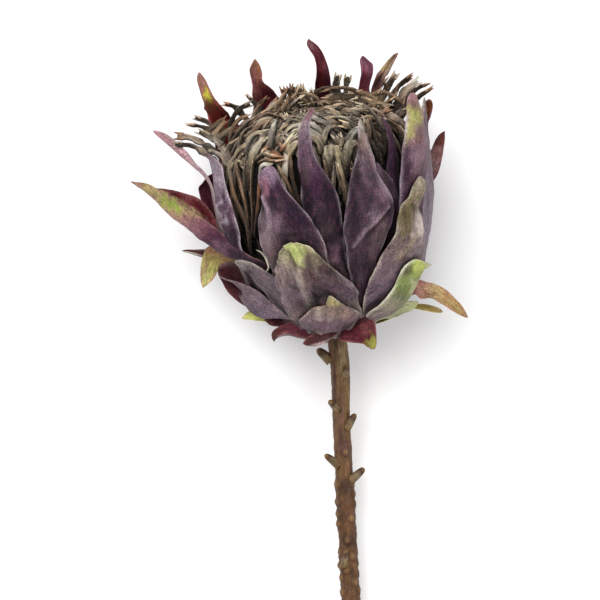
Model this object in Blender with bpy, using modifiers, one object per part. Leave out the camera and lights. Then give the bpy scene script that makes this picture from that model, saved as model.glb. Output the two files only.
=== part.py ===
"""A dried king protea bloom on its cut stem, lying on its back.

Lengths in the tables are millimetres in the front view: x to the right, y up the page and
w towards the eye, from the foot of the bloom. The bloom's own frame stands on its foot with
the azimuth 0 to the right, -90 to the eye and 90 to the surface that the bloom lies on.
"""

import math
import random

import bmesh
import bpy
import numpy as np
from mathutils import Matrix, Vector

MM = 0.001
PART = "protea"
SEED = 7

# driving sizes, millimetres
CUP_DIAMETER = 112.0
STEM_LENGTH = 300.0
STEM_RADIUS = 4.8
BLADE = 1.3
SEAT_GAP = 0.3

# the eye of the front view
EYE_DISTANCE = 1400.0
EYE_CENTRE = (-18.5, 21.0)

# how the bloom leans in the front view, and how the whole lies on the surface
LEAN = math.radians(6.5)
NOD = math.radians(17.0)
PITCH = math.radians(5.7)
FOOT_HEIGHT = 32.5
SHIFT = (18.9, 73.6)
BELOW_DEPTH = 0.1

AXIS = np.array([-math.sin(LEAN) * math.cos(NOD), math.cos(LEAN) * math.cos(NOD), math.sin(NOD)])
SIDE = np.array([1.0, 0.0, 0.0]) - AXIS[0] * AXIS
SIDE = SIDE / np.linalg.norm(SIDE)
BLOOM = np.array([SIDE, np.cross(AXIS, SIDE), AXIS])

# the cup's outer form: radius over height, as shares of its diameter
CUP = CUP_DIAMETER * np.array([
    (0.07, 0.0), (0.14, 0.045), (0.23, 0.10), (0.30, 0.15), (0.365, 0.23), (0.42, 0.36), (0.465, 0.48),
    (0.49, 0.61), (0.50, 0.73), (0.487, 0.86), (0.455, 0.965), (0.41, 1.055), (0.32, 1.125)])

# the receptacle that every bract is rooted in
RECEPTACLE_TOP = 34.0
RECEPTACLE_RIM = 30.0
RECEPTACLE_FOOT = -2.0
RECEPTACLE_FOOT_RADIUS = 6.5
RECEPTACLE_INSET = 4.0
RECEPTACLE_SIDE = (2.5, 6.0, 11.0, 17.0, 24.0)
RECEPTACLE_FACETS = 28

# the hidden foot of a bract: how far below its first row, how far inside the cup, share of its width
ROOT_DROP = 5.0
ROOT_HIGHEST = 29.0
ROOT_LOWEST = 1.5
ROOT_INSET = 7.5
ROOT_SHARE = 0.55
TALL_ROOT_FROM = 36.0
TALL_ROOT = (31.0, 3.0, 0.75)

LEAF_STATIONS = 7
LEAF_STRIPS = 3
TIP_ROUND = 0.95


def cup_radius(height):
    return np.interp(height, CUP[:, 1], CUP[:, 0])


def polar(azimuth, radius, height):
    """A place in the bloom's frame."""
    turn = math.radians(azimuth)
    return np.array([radius * math.cos(turn), radius * math.sin(turn), height])


def seen(x, y, w):
    """The place in the bloom's frame that shows at x, y, and is w in front of the foot."""
    shrink = 1.0 - np.asarray(w, float) / EYE_DISTANCE
    across = EYE_CENTRE[0] + (x - EYE_CENTRE[0]) * shrink
    up = EYE_CENTRE[1] + (y - EYE_CENTRE[1]) * shrink
    return np.stack([across, up, shrink * 0 + w], axis=-1) @ BLOOM.T


def on_cup(x, y, lift, far=False):
    """The place on the cup, or lift off it, that shows at x, y on the near or the far side."""
    depths = np.arange(100.0, -75.0, -0.25)
    if far:
        depths = depths[::-1]
    line = seen(x, y, depths)
    clear = np.hypot(line[:, 0], line[:, 1]) - cup_radius(line[:, 2]) - lift
    inside = np.nonzero(clear <= 0)[0]
    return line[inside[0]] if len(inside) else line[np.argmin(clear)]


def hug(rows, far=False):
    """Leaf rows laid on the cup: left x y, right x y, lift and bulge. On the far side the
    inner face shows, so the edges change places."""
    laid = []
    for x_left, y_left, x_right, y_right, lift, bulge in rows:
        left, right = on_cup(x_left, y_left, lift, far), on_cup(x_right, y_right, lift, far)
        middle = (left + right) / 2
        follow = cup_radius(middle[2]) + lift - math.hypot(middle[0], middle[1])
        if far:
            left, right = right, left
        laid.append((*left, *right, max(follow, 0.0) + bulge))
    return laid


def free(rows):
    """Leaf rows that stand off the cup: left x y w, right x y w and bulge."""
    return [(*seen(*row[0:3]), *seen(*row[3:6]), row[6]) for row in rows]


def ribbed(rows):
    """Leaf rows about a middle line: azimuth, radius, height, half width and bulge."""
    middle = np.array([polar(*row[:3]) for row in rows])
    along = np.gradient(middle, axis=0)
    laid = []
    for place, run, (azimuth, _, _, half, bulge) in zip(middle, along, rows):
        run = run / np.linalg.norm(run)
        turn = math.radians(azimuth)
        across = np.array([-math.sin(turn), math.cos(turn), 0.0])
        across = across - across.dot(run) * run
        across = across / np.linalg.norm(across)
        out = np.cross(across, run)
        laid.append((*(place - across * half - out * bulge),
        *(place + across * half - out * bulge), bulge))
    return laid


def rooted(rows):
    """Add the hidden foot of a leaf, which runs down outside the receptacle and into it."""
    left, right, bulge = np.array(rows[0][:3]), np.array(rows[0][3:6]), rows[0][6]
    middle = (left + right) / 2
    azimuth = math.degrees(math.atan2(middle[1], middle[0]))
    half = (right - left) / 2
    feet = []
    heights = [(min(middle[2], ROOT_HIGHEST) - ROOT_DROP, ROOT_INSET, ROOT_SHARE)]
    if middle[2] > TALL_ROOT_FROM:
        heights.append(TALL_ROOT)
    for height, inset, share in heights:
        height = max(height, ROOT_LOWEST)
        place = polar(azimuth, max(cup_radius(height) - inset, ROOT_LOWEST), height)
        feet.append((*(place - half * share), *(place + half * share), bulge * share))
    return feet + list(rows)


def through(rows, count):
    """Even stations on a smooth curve through a leaf's rows, and how far along each is."""
    rows = np.asarray(rows, float)
    middle = (rows[:, :3] + rows[:, 3:6]) / 2
    knot = np.concatenate([[0], np.cumsum(np.linalg.norm(np.diff(middle, axis=0), axis=1) ** 0.5)])
    rows = np.vstack([2 * rows[0] - rows[1], rows, 2 * rows[-1] - rows[-2]])
    knot = np.concatenate([[2 * knot[0] - knot[1]], knot, [2 * knot[-1] - knot[-2]]])
    slope = (rows[2:] - rows[:-2]) / (knot[2:] - knot[:-2])[:, None]
    t = np.linspace(0, 1, 13)[:, None]
    fine = []
    for i in range(1, len(rows) - 2):
        span = knot[i + 1] - knot[i]
        fine.append((2 * t**3 - 3 * t**2 + 1) * rows[i] + (t**3 - 2 * t**2 + t) * slope[i - 1] * span
                    + (3 * t**2 - 2 * t**3) * rows[i + 1] + (t**3 - t**2) * slope[i] * span)
    fine = np.vstack(fine)
    middle = (fine[:, :3] + fine[:, 3:6]) / 2
    run = np.concatenate([[0], np.cumsum(np.linalg.norm(np.diff(middle, axis=0), axis=1))])
    even = np.linspace(0, run[-1], count)
    return np.column_stack([np.interp(even, run, fine[:, k]) for k in range(fine.shape[1])]), even / run[-1]


def sheet(rows, stations, strips, tip=0.04):
    """The middle surface of a leaf, as a grid of places in the bloom's frame."""
    line, along = through(rows, stations)
    left, right, bulge = line[:, :3], line[:, 3:6], line[:, 6]
    near_tip = np.clip((along - (1 - tip)) / tip, 0, 1)
    close = np.sqrt(1 - (TIP_ROUND * near_tip) ** 2)
    middle, half = (left + right) / 2, (right - left) / 2 * close[:, None]
    out = np.cross(half, np.gradient(middle, axis=0))
    out = out / np.linalg.norm(out, axis=1)[:, None]
    across = np.linspace(-1, 1, strips + 1)
    arch = (bulge * close)[:, None] * (1 - across**2)
    return middle[:, None] + half[:, None] * across[None, :, None] + out[:, None] * arch[..., None]


# bracts whose outer face lies on the near side of the cup: left x y, right x y, lift, bulge
NEAR_BRACTS = {
    "front_left": [
        (-20, 8, 2, 10, -2, 0.5), (-30, 25, -2, 28, -1, 0.5), (-33.5, 38, -4.5, 42, -0.5, 0.5),
        (-38.3, 50, -6.5, 50, 0, 0.8), (-39.5, 60, -12, 60, 0, 1.5), (-37.8, 68, -18, 67.5, 0, 1.5),
        (-37.2, 75, -24.5, 75, 0, 1.2), (-38.8, 80.5, -28, 80.5, 0.5, 1.2),
        (-39, 84, -29.7, 84.5, 0.5, 0.9),
        (-36, 88, -31, 88.4, 0.3, 0.4)],
    "front_centre": [
        (-6, 12, 10, 14, -3.5, 0.5), (-9, 30, 7, 31, -3, 0.5), (-12, 45, 4.6, 45, -2.5, 0.8),
        (-15, 56, 2.7, 56, -2, 1), (-17, 66, 2, 66, -1.5, 1.5), (-18, 74, 0, 74, -1, 1.6),
        (-18.5, 82, -4, 81.5, -0.5, 1.8), (-19.1, 90, -9.3, 90, 0, 1.8), (-19.4, 97, -12, 97, 0, 1.6),
        (-18.5, 103, -13.2, 103, 0, 1.3), (-16.3, 108.5, -12.4, 108.5, 0, 1),
        (-15, 112.5, -11.3, 112.5, 0, 0.8),
        (-14, 116.6, -11.5, 116.6, -0.5, 0.5)],
    "front_right": [
        (8, 12, 14, 12, -2, 0.3), (7.5, 28, 15, 28, -1, 0.4), (5.3, 38, 19, 38, 0, 0.6),
        (4.5, 47, 22.3, 47, 0.5, 1), (3, 55, 25.3, 55, 0.8, 1.3), (3.8, 63, 27.6, 63, 1, 1.6),
        (4.8, 70.5, 28, 71, 1, 2), (5.8, 77, 25, 76.5, 1, 2.4), (7.2, 84, 20, 83.5, 1, 2.2),
        (8.8, 91, 17.4, 91, 1, 1.8), (9.6, 98, 15.4, 98, 1, 1.4), (10, 104, 13.8, 104, 1, 1),
        (10.6, 109, 12.7, 109, 0.8, 0.5), (11.1, 111.4, 12, 111.4, 0.6, 0.2)],
    "front_right_inner": [
        (14, 30, 26, 28, -4, 0.5), (15, 55, 30, 55, -4, 0.5), (16.5, 70, 31, 70, -4, 1),
        (17.5, 80, 28.4, 79, -4, 1.2), (18.5, 86, 24, 84.5, -4, 0.8), (19.3, 90, 20.6, 89.5, -4, 0.3)],
    "front_right_deep": [
        (19, 45, 29, 45, -5, 0.5), (22, 70, 31.5, 70, -5, 0.8), (25, 90, 30.8, 90, -4.5, 1),
        (25.8, 99, 29, 99, -4.5, 0.9), (24.4, 106, 26.8, 107, -4.5, 0.6),
        (21.6, 112, 22.8, 112.6, -4.5, 0.2)],
    "right_tall": [
        (20, 20, 28, 20, -2, 0.5), (27, 40, 38, 38, -1, 1), (30, 58, 41.5, 57, 0, 1.4),
        (31.2, 72, 42.8, 72, 0.3, 1.8), (31.7, 82, 43.7, 83, 0.6, 2.2), (32, 90, 44.4, 91, 1, 2.4),
        (32.8, 97, 44.3, 97, 2, 2.4), (33.8, 104, 43.6, 104, 4, 2.1), (34.3, 110, 43, 110, 5.6, 1.7),
        (34.7, 116, 41.7, 116, 7.5, 1.3), (35, 121, 40.2, 121.5, 9, 1), (36, 124.3, 39, 124.4, 10, 0.6)],
    "left_inner": [
        (-40, 30, -30, 30, -2, 0.8), (-50, 46.5, -44.5, 46, -2, 1), (-56, 54, -47.6, 53, -1.5, 1.5),
        (-58.8, 62, -50.5, 62, -0.5, 2.2), (-59.8, 70, -53, 70, 0, 2.4), (-60.4, 77, -55.2, 77, 0.5, 2.2),
        (-61.5, 83, -56.5, 83, 1, 1.8), (-62.7, 88, -57.2, 87.5, 1, 1.4),
        (-64.2, 92.5, -60.8, 91.8, 1, 0.8),
        (-65, 95, -64, 94.5, 1, 0.2)],
    "low_left": [
        (-14, 5, 10, 6, 0, 0.5), (-21, 11, 12.3, 14, 1.5, 1), (-27.5, 18, 11.3, 20, 2.5, 1.2),
        (-30.8, 27, 9.5, 27.5, 3.2, 1.4), (-31, 35, 0.5, 35, 3.8, 1.8), (-29.5, 42, -7, 41.5, 4.2, 1.8),
        (-27.6, 47, -12.5, 47, 4.8, 1.4), (-26, 49.9, -17, 49.7, 5, 0.8)],
    "lowest_front": [
        (-8, 0, 4, 0.5, 1, 0.5), (-13, 5.3, 6, 6.5, 3, 1), (-18, 8.5, 10.2, 10.5, 4.5, 1.2),
        (-18, 12, 12, 14, 5, 1.5), (-13.5, 16.3, 6.3, 17.5, 5.8, 1.5), (-7.8, 18.4, 1.8, 21, 6.4, 1.2),
        (-4.6, 21, -0.4, 22.6, 6.8, 0.9), (-3.3, 24, -2.2, 24, 7, 0.3)],
    "low_right": [
        (12, 10, 22, 8, 1, 0.5), (13.5, 22, 30, 20, 1.5, 1), (17, 33, 38, 31, 2, 1.2),
        (22.5, 44, 43, 44, 2.5, 1.5),
        (28.5, 53, 44, 52, 3, 1.8), (30.2, 61, 43, 61, 3.5, 2.2), (31.8, 68, 40.8, 67.3, 3.8, 2.2),
        (35.6, 72.5, 42, 72, 4, 2.2), (37.8, 78, 43.2, 78, 4.5, 2), (40.2, 83, 42.9, 82.8, 4.5, 1)],
    "green_right": [
        (10, 12, 14, 7, 1, 0.5), (15, 15.5, 20, 11.3, 3, 0.8), (21, 18.5, 27, 14.2, 4, 1.2),
        (25.5, 23, 33, 18.3, 4.5, 1.5), (28.5, 28, 37, 23.5, 5, 1.8), (31, 33.5, 39.8, 28.8, 5.5, 1.9),
        (34.5, 38.5, 41.6, 33, 6.5, 1.8), (39.3, 41.5, 43.3, 35.7, 8, 1.2),
        (43.5, 40.3, 45, 37.2, 10, 0.6),
        (47, 39.2, 47.4, 38.2, 12.5, 0.2)],
    "pale_right": [
        (12, 9, 15, 4, 1, 0.4), (19, 13, 20, 10.6, 2.5, 0.6), (27.5, 16.8, 28.3, 12.5, 3.5, 0.9),
        (33.5, 19.8, 34, 15, 5, 0.9), (38, 20.4, 37.8, 17, 7, 0.5), (40.7, 20.3, 40.6, 19.6, 9, 0.1)],
    "mid_low_left": [
        (-18, 6, -10, 12, 0, 0.5), (-27, 15, -21, 24, 1, 0.8), (-33, 20.5, -29, 31, 1.5, 1),
        (-39, 26, -36, 35.8, 2, 1.2), (-43.5, 32, -42, 39.4, 3, 1.2), (-47.5, 37, -47.5, 41, 4.5, 0.9),
        (-51.5, 39.6, -50.7, 41.3, 6, 0.3)],
}

# bracts on the far side, whose tips show above the florets
FAR_BRACTS = {
    "back_left_far": [
        (-50, 60, -36, 62, 0, 1.5), (-57, 82, -40, 86, 1, 1.8), (-61, 100, -46, 104, 3, 1.8),
        (-64, 111.5, -52.6, 112, 6, 1.8), (-66.8, 120, -60, 120.5, 8, 1.5),
        (-68.6, 126.3, -64, 127, 9, 1.2),
        (-70.2, 131.5, -66.1, 131.5, 10, 0.9), (-70.2, 134.6, -67.6, 134.8, 10, 0.3)],
    "back_left": [
        (-40, 78, -22, 82, 0, 1), (-43, 98, -24, 102, 0.5, 1.4), (-42.4, 110, -26, 114, 1, 1.8),
        (-41.7, 119, -28.6, 121, 2, 2), (-41.9, 124.5, -32, 126, 3, 2), (-42.6, 130, -36.9, 130, 4, 1.8),
        (-43.4, 135.5, -37.5, 134.5, 5, 1.5), (-42.8, 139, -38.6, 138.8, 6, 1),
        (-41.9, 141.4, -40.1, 141.4, 6.5, 0.4)],
    "back_centre": [
        (-17, 86, 0, 86, 0, 1), (-15, 104, -1, 104, 0.5, 1.4), (-12.7, 118, -2, 118, 1, 1.8),
        (-10.9, 127.5, -2.7, 128, 2, 1.9), (-10.2, 135, -4, 135, 3, 1.8),
        (-11.2, 142, -6.2, 142.6, 5, 1.6),
        (-13.8, 146.6, -9, 147.4, 7, 1.3), (-15.5, 149.4, -12.2, 150.6, 8.5, 0.8),
        (-15, 151.3, -13.4, 151.5, 9, 0.3)],
    "back_right": [
        (3, 86, 20, 86, 0, 1), (6, 106, 19.5, 106, 0.5, 1.4), (8.8, 120, 17.4, 120, 1, 1.4),
        (11, 127.5, 16.4, 128, 2, 1.2), (12, 134, 17.5, 134, 3, 1.2), (11.7, 138.8, 17.6, 138.5, 4, 1),
        (11.1, 141.5, 15.4, 141.5, 5, 0.7), (11.9, 143, 13.5, 143, 5.5, 0.2)],
    "back_right_far": [
        (14, 88, 32, 88, 0, 1), (15, 106, 28, 106, 1, 1.4), (16, 119, 22.5, 119, 2, 1.6),
        (17.8, 128.6, 22, 128, 4, 1.8), (20.6, 134.4, 24.4, 132.8, 6, 1.8),
        (24, 139.2, 26.9, 137.9, 8, 1.5),
        (27.6, 143.2, 29.1, 141.8, 10, 0.9), (29.9, 145, 30.9, 144.2, 11, 0.2)],
    "right_back_tip": [
        (30, 55, 42, 55, -1, 1), (33, 78, 45, 80, 0, 1.2), (38, 98, 46, 97, 2, 1.2),
        (40.8, 108, 44.8, 108, 4, 1.2),
        (42.4, 114, 46.6, 113.7, 6, 1.2), (43.3, 118.4, 48, 118.4, 8, 0.8),
        (44.5, 121.2, 47.6, 121.3, 9, 0.3)],
}

# bracts that stand off the cup: left x y w, right x y w, bulge
FREE_BRACTS = {
    "right_edge": [
        (33, 32, 37, 41, 32, 16, 1.5), (38.5, 50, 36, 45, 50, 16, 2), (40.5, 66, 38, 47.2, 66, 19, 2.5),
        (41, 80, 40, 47.6, 79, 23, 2.5), (41.5, 92, 39, 46.2, 91, 25, 2),
        (42, 102, 37, 44.5, 102, 27, 1.5),
        (42.2, 111, 36, 43.7, 110, 28, 1.2), (42.6, 118, 34, 44, 118, 28, 0.8),
        (43.1, 122.3, 32, 44, 122.3, 29, 0.4)],
    "right_far": [
        (37, 42, 8, 42, 40, 22, 2), (40, 60, 8, 44.5, 59, 24, 2.6), (42.5, 76, 10, 45.5, 75, 25, 3),
        (44, 85, 12, 47, 83, 25, 2.8), (45.8, 92, 13, 47.8, 90, 24, 3.2),
        (48.2, 98.3, 15, 50, 96, 22, 2.8),
        (51.2, 103.2, 16, 52.2, 101.5, 20, 1.6), (53.5, 105.2, 17, 54, 104.7, 19, 0.2)],
    "splayed_right": [
        (30, 18, 22, 31, 29, 17, 1.5), (38.7, 24.3, 19, 41, 31, 14, 1.5),
        (42, 22, 19, 44.5, 30.1, 14, 1.5),
        (47, 22.1, 19, 49, 28.9, 14, 1.4), (51.5, 19.5, 19, 54, 26.5, 15, 1.2),
        (57, 16, 18, 59, 21.8, 15, 1),
        (61.5, 13.7, 17, 62.8, 17.6, 15, 0.6), (65, 12, 16.5, 65.6, 12.7, 15.5, 0.1)],
    "thin_right": [
        (27, 12, 8, 28, 18, 2, 1.2), (37, 16.8, 7, 38, 18.9, 1, 1), (44, 15.9, 7, 44.2, 18.8, 2, 0.9),
        (49, 15.1, 7, 49.2, 17.6, 3, 0.7), (52.4, 14.6, 6, 53, 15.9, 4, 0.3)],
    "long_low_left": [
        (-14, 8, 33, -14, 6.5, 38, 1.5), (-24, 18, 32, -22, 11.5, 42, 3),
        (-32, 26.5, 29, -31, 18.2, 43, 5),
        (-41.5, 34.5, 25, -38.5, 24.6, 42, 7), (-50, 39.5, 22, -45.5, 28.6, 39, 7.5),
        (-56.5, 39.5, 20, -51.5, 30.2, 34, 5.5), (-60, 36, 20, -56.3, 31.4, 28, 2.6),
        (-59.6, 33.6, 22, -58.6, 32.3, 25, 0.3)],
    "left_splayed": [
        (-37.5, 35, 44, -35, 38.5, 48, 1.5), (-46, 40.5, 43, -43.5, 43.2, 50, 2),
        (-55, 46, 32, -52, 49.6, 46, 5.5),
        (-63.5, 62, 20, -60, 58, 39, 10), (-70, 71.5, 14, -69, 64, 34, 10.8),
        (-79, 74.7, 12, -78.5, 69.8, 30, 9.6),
        (-87, 76.7, 12, -87, 75.6, 26, 6.4), (-95, 78.4, 13, -95, 79.2, 22, 3.4),
        (-102.6, 80.4, 15, -103.3, 79.8, 18, 0.3)],
    "left_thin": [
        (-47, 36, 22, -45.5, 36, 38, 1.5), (-57, 54, 24, -56, 54, 36, 1),
        (-60.6, 68, 25, -59.9, 67.6, 34, 0.8),
        (-63, 78, 25, -62.1, 77.7, 32, 0.6), (-66.7, 83.6, 25, -65.8, 84.2, 30, 0.5),
        (-71.6, 87.4, 25, -70.8, 89.4, 28, 0.6), (-77.2, 92, 25, -74.6, 94.6, 27, 0.8),
        (-82.2, 96.6, 25, -80, 99.8, 26, 0.8), (-87.6, 101.2, 24, -85.4, 103.9, 25, 0.6),
        (-92.4, 105.1, 23, -91.2, 106.3, 24, 0.2)],
    "left_back_fold": [
        (-42, 40, -2, -50, 40, 12, 1.5), (-48, 54, -2, -58, 54, 12, 2), (-51, 66, 2, -65.2, 67, 14, 2.6),
        (-53, 75, 5, -69.2, 76.5, 17, 2.8), (-55, 81, 8, -66.5, 80.8, 19, 2),
        (-59, 85, 11, -62.6, 84.9, 20, 0.5)],
    "hanging_left": [
        (-46, 44, 22, -46, 34, 18, 1), (-56, 48, 22, -53.5, 38, 18, 1.2),
        (-64.5, 47.5, 22, -58, 38.5, 19, 1.4),
        (-67.4, 41.5, 21, -60, 35.2, 20, 1.4), (-68.3, 35, 20, -62.6, 31.2, 20, 1.2),
        (-68.1, 30, 19, -65, 28.7, 19, 0.8),
        (-67.5, 27.4, 19, -66.5, 27.1, 19, 0.1)],
    "small_left": [
        (-50, 42, -2, -50, 37, 10, 2.5), (-60, 46.5, 0, -61, 41.8, 11, 3),
        (-67, 46.4, 4, -67.6, 43.5, 11, 2.2),
        (-73, 46.2, 7, -73, 45.1, 11, 1.1), (-77.4, 46, 9, -77.5, 45.3, 10.2, 0.2)],
    "wine_low_left": [
        (-30, 9, 28, -32, 20, 14, 2), (-40, 14.5, 26, -42, 28, 12, 2.6),
        (-47.5, 18.8, 24, -49, 33, 14, 2.6),
        (-53.5, 24, 22, -54, 35, 16, 2), (-58, 31, 20, -58, 35, 18, 0.8),
        (-59.7, 34.1, 19, -59.4, 35, 18.5, 0.2)],
    "lime_low_left": [
        (-24, 7, 20, -24, 14, 10, 1.2), (-33, 9.6, 18, -34, 17, 8, 1.5),
        (-40, 10.7, 17, -41, 16.6, 9, 1.3),
        (-44.5, 11.2, 15, -44.6, 14.6, 11, 0.8), (-47.6, 11.6, 13, -47.3, 12.4, 12, 0.1)],
    "wine_foot_left": [
        (-20, 5, 24, -20, 11, 18, 1), (-28, 7.4, 22, -28, 13, 16, 1.2),
        (-33, 8.2, 20, -33.5, 12.5, 16, 0.9),
        (-36.2, 10.7, 18, -36, 12.1, 17, 0.2)],
    "curl_foot_left": [
        (-9, -0.5, 24, -8, 5.5, 20, 0.5), (-16, 2.2, 27, -16, 7.5, 20, 0.8),
        (-22, 3.6, 28, -22, 9, 20, 0.9),
        (-27.2, 4.2, 28, -27, 8.2, 21, 0.9), (-30.5, 2, 26, -32.4, 5.2, 21, 0.8),
        (-31, 0.6, 24, -32.8, 2.6, 22, 0.3)],
    "foot_front": [
        (3, 3, 22, 2, 8, 18, 0.5), (-4, 1.9, 26, -4, 6.4, 21, 0.6), (-10, -0.2, 29, -10.5, 5, 23, 0.7),
        (-14, -1.2, 30, -15, 2.6, 26, 0.5), (-16.6, -1.2, 30, -17, 0, 29, 0.2)],
    "foot_right": [
        (3, 0.8, 22, 2.5, 8, 16, 0.6), (7, 0, 28, 8.5, 9.6, 20, 0.9), (11.5, -0.4, 32, 14, 12, 22, 1.2),
        (14, -1, 33, 18.5, 9, 24, 1.3), (15.6, -2.8, 33, 19.3, 4.5, 27, 1),
        (18.2, -4.8, 32, 20.3, -2.6, 30, 0.3)],
}


# the two outer bracts that the bloom rests on: azimuth and the radius of the belly
RESTING_BRACTS = [(63, 78.3), (115, 74.4)]


def hidden_bracts():
    """The bracts of the side that the bloom lies on. Two of the outer ones splay down to it."""
    rows = {}
    for azimuth in (40, 90, 140):
        rows[f"under_middle_{azimuth}"] = [
            (azimuth, 40, 26, 11, 1.5), (azimuth, 50, 46, 14, 2), (azimuth, 56.5, 62, 13, 2.2),
            (azimuth, 60, 76, 10, 1.8), (azimuth, 61.5, 87, 6, 1), (azimuth, 61, 95, 1.6, 0.2)]
    for azimuth, belly in RESTING_BRACTS:
        rows[f"under_splayed_{azimuth}"] = [
            (azimuth, 40, 26, 10, 1.5), (azimuth, 50, 44, 12, 2.2),
            (azimuth, belly - 15.5, 59, 12.5, 3.2),
            (azimuth, belly - 6.5, 70, 10.5, 3.6), (azimuth, belly, 81, 7.5, 3),
            (azimuth, belly + 1.5, 91, 4.5, 1.6),
            (azimuth, belly - 0.5, 99, 1.4, 0.3)]
    for azimuth in (52, 78, 102, 128):
        rows[f"under_low_{azimuth}"] = [
            (azimuth, 32, 14, 9, 1.2), (azimuth, 43, 27, 11.5, 2), (azimuth, 50, 40, 10.5, 2),
            (azimuth, 54, 51, 6.5, 1.2), (azimuth, 55.5, 58, 1.5, 0.2)]
    for azimuth in (22, 56, 90, 124, 158):
        rows[f"under_foot_{azimuth}"] = [
            (azimuth, 14, 4, 6.5, 0.8), (azimuth, 23, 9, 8, 1.2), (azimuth, 31, 11, 6, 1),
            (azimuth, 36, 9, 1.5, 0.2)]
    return {name: ribbed(row) for name, row in rows.items()}


def all_bracts():
    bracts = {name: hug(rows) for name, rows in NEAR_BRACTS.items()}
    bracts.update({name: hug(rows, far=True) for name, rows in FAR_BRACTS.items()})
    bracts.update({name: free(rows) for name, rows in FREE_BRACTS.items()})
    bracts.update(hidden_bracts())
    return {name: rooted(rows) for name, rows in bracts.items()}


# florets: the core that they stand out of, radius over height
FLORET_CORE = [
    (0.0, 110.0), (10.0, 110.0), (24.0, 108.5), (36.0, 105.0), (41.0, 99.0), (42.5, 85.0), (41.0, 62.0),
    (37.0, 46.0), (33.0, RECEPTACLE_TOP + SEAT_GAP), (0.0, RECEPTACLE_TOP + SEAT_GAP)]
CORE_FACETS = 24
FLORET_SIDES = 6
CRATER = np.array([-3.0, 8.0])
FLORET_REACH = 45.0
FLORET_SWIRL = (-7.0, 12.0)
FLORET_STRAY = 0.25
FLORET_ROOT = 0.9
FLORET_TAPER = 0.55

# rings of florets: how many, thickness, spread at random, and the course as radius and height
FLORET_RINGS = [
    (30, 2.0, 0.8, [(38.5, 52), (44.4, 72), (45.6, 88), (44.2, 101), (38.5, 110.3), (30.5, 112.5)]),
    (22, 1.9, 0.8, [(37, 97), (36.3, 108), (29, 115), (18, 117)]),
    (14, 1.6, 0.6, [(24, 105), (21.5, 113.5), (11, 117.5)]),
    (8, 1.4, 0.5, [(12, 107), (9, 115), (4, 116)]),
]

# florets that are told apart in the front view: half thickness, then x y w and share of it
LONE_FLORETS = [
    (1.7, [(-58, 88, 26, 0.9), (-66, 94.5, 28, 1), (-73, 98.2, 28, 0.8), (-81, 98.6, 28, 0.35)]),
    (1.7, [(-58, 93, 18, 0.9), (-66, 98.5, 20, 1), (-73, 102, 20, 0.8), (-80, 103, 20, 0.35)]),
    (1.6, [(-56, 101, 10, 0.9), (-63, 105.5, 12, 1), (-69, 108, 12, 0.8), (-74, 108.5, 12, 0.35)]),
    (1.6, [(-52, 103, 4, 0.9), (-60, 107.5, 6, 1), (-66, 110.6, 6, 0.8), (-71, 112.3, 6, 0.35)]),
    (1.5, [(-44, 110, 2, 0.9), (-49, 115.5, 3, 1), (-52, 118, 3, 0.8), (-56, 119, 3, 0.35)]),
    (1.6, [(-54, 104, 14, 0.9), (-52, 112, 16, 1), (-48.5, 116.8, 15, 0.8), (-43.5, 119, 14, 0.35)]),
    (1.4, [(-37, 112, -2, 0.9), (-40, 118, -2, 1), (-45, 123.3, -2, 0.35)]),
    (1.4, [(-38, 113, 4, 0.9), (-38.5, 118.5, 4, 1), (-35, 122, 4, 0.35)]),
    (1.6, [(-3, 120, -2, 0.9), (-1, 127, -4, 1), (0.5, 133, -5, 0.35)]),
    (1.5, [(5, 119, -2, 0.9), (4.5, 127, -4, 1), (5.5, 132.6, -5, 0.35)]),
    (1.6, [(14, 118, 0, 0.9), (20, 126, -3, 1), (24, 131.4, -5, 0.35)]),
    (1.6, [(20, 117, 4, 0.9), (25, 127, 0, 1), (29.5, 134, -3, 0.35)]),
    (1.7, [(24, 116, 8, 0.9), (30.5, 127.5, 4, 1), (37, 132.6, 2, 0.35)]),
    (1.7, [(26, 113, 14, 0.9), (33.5, 124.5, 11, 1), (40.6, 130.4, 9, 0.35)]),
    (1.6, [(29, 114, 10, 0.9), (39, 126, 7, 1), (45.6, 129, 6, 0.35)]),
    (1.6, [(30, 110, 18, 0.9), (39.5, 121.5, 16, 1), (47, 126.6, 15, 0.35)]),
    (2.3, [(-4, 82, 70, 0.6), (-4.6, 91, 72, 0.9), (-4.2, 96.4, 71, 1), (-2, 97.6, 66, 0.8)]),
    (2.2, [(4.6, 76, 68, 0.5), (2.6, 86, 71, 0.9), (0.4, 95, 72, 1), (-0.4, 98, 68, 0.8)]),
    (2.2, [(5.5, 83, 68, 0.5), (5.2, 92, 71, 0.9), (6.4, 98.4, 71, 1), (9.6, 99.6, 66, 0.8)]),
    (2.1, [(-25, 80, 64, 0.7), (-25, 90, 66, 1), (-22.4, 97, 66, 1), (-19.6, 99.6, 62, 0.6)]),
    (2.1, [(-44, 76, 52, 0.9), (-43.2, 88, 55, 1), (-40.6, 96.6, 56, 1), (-35.5, 102.5, 52, 0.6)]),
    (2.2, [(-54, 78, 42, 0.9), (-53.2, 87.5, 46, 1), (-49, 91.4, 48, 1), (-45, 88, 49, 0.6)]),
]


def floret_place(azimuth, radius, height):
    """A place on a floret's course, which heads for the crater off the middle."""
    place = polar(azimuth, radius, height)
    place[:2] += CRATER * max(0.0, 1.0 - radius / FLORET_REACH)
    return place


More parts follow.
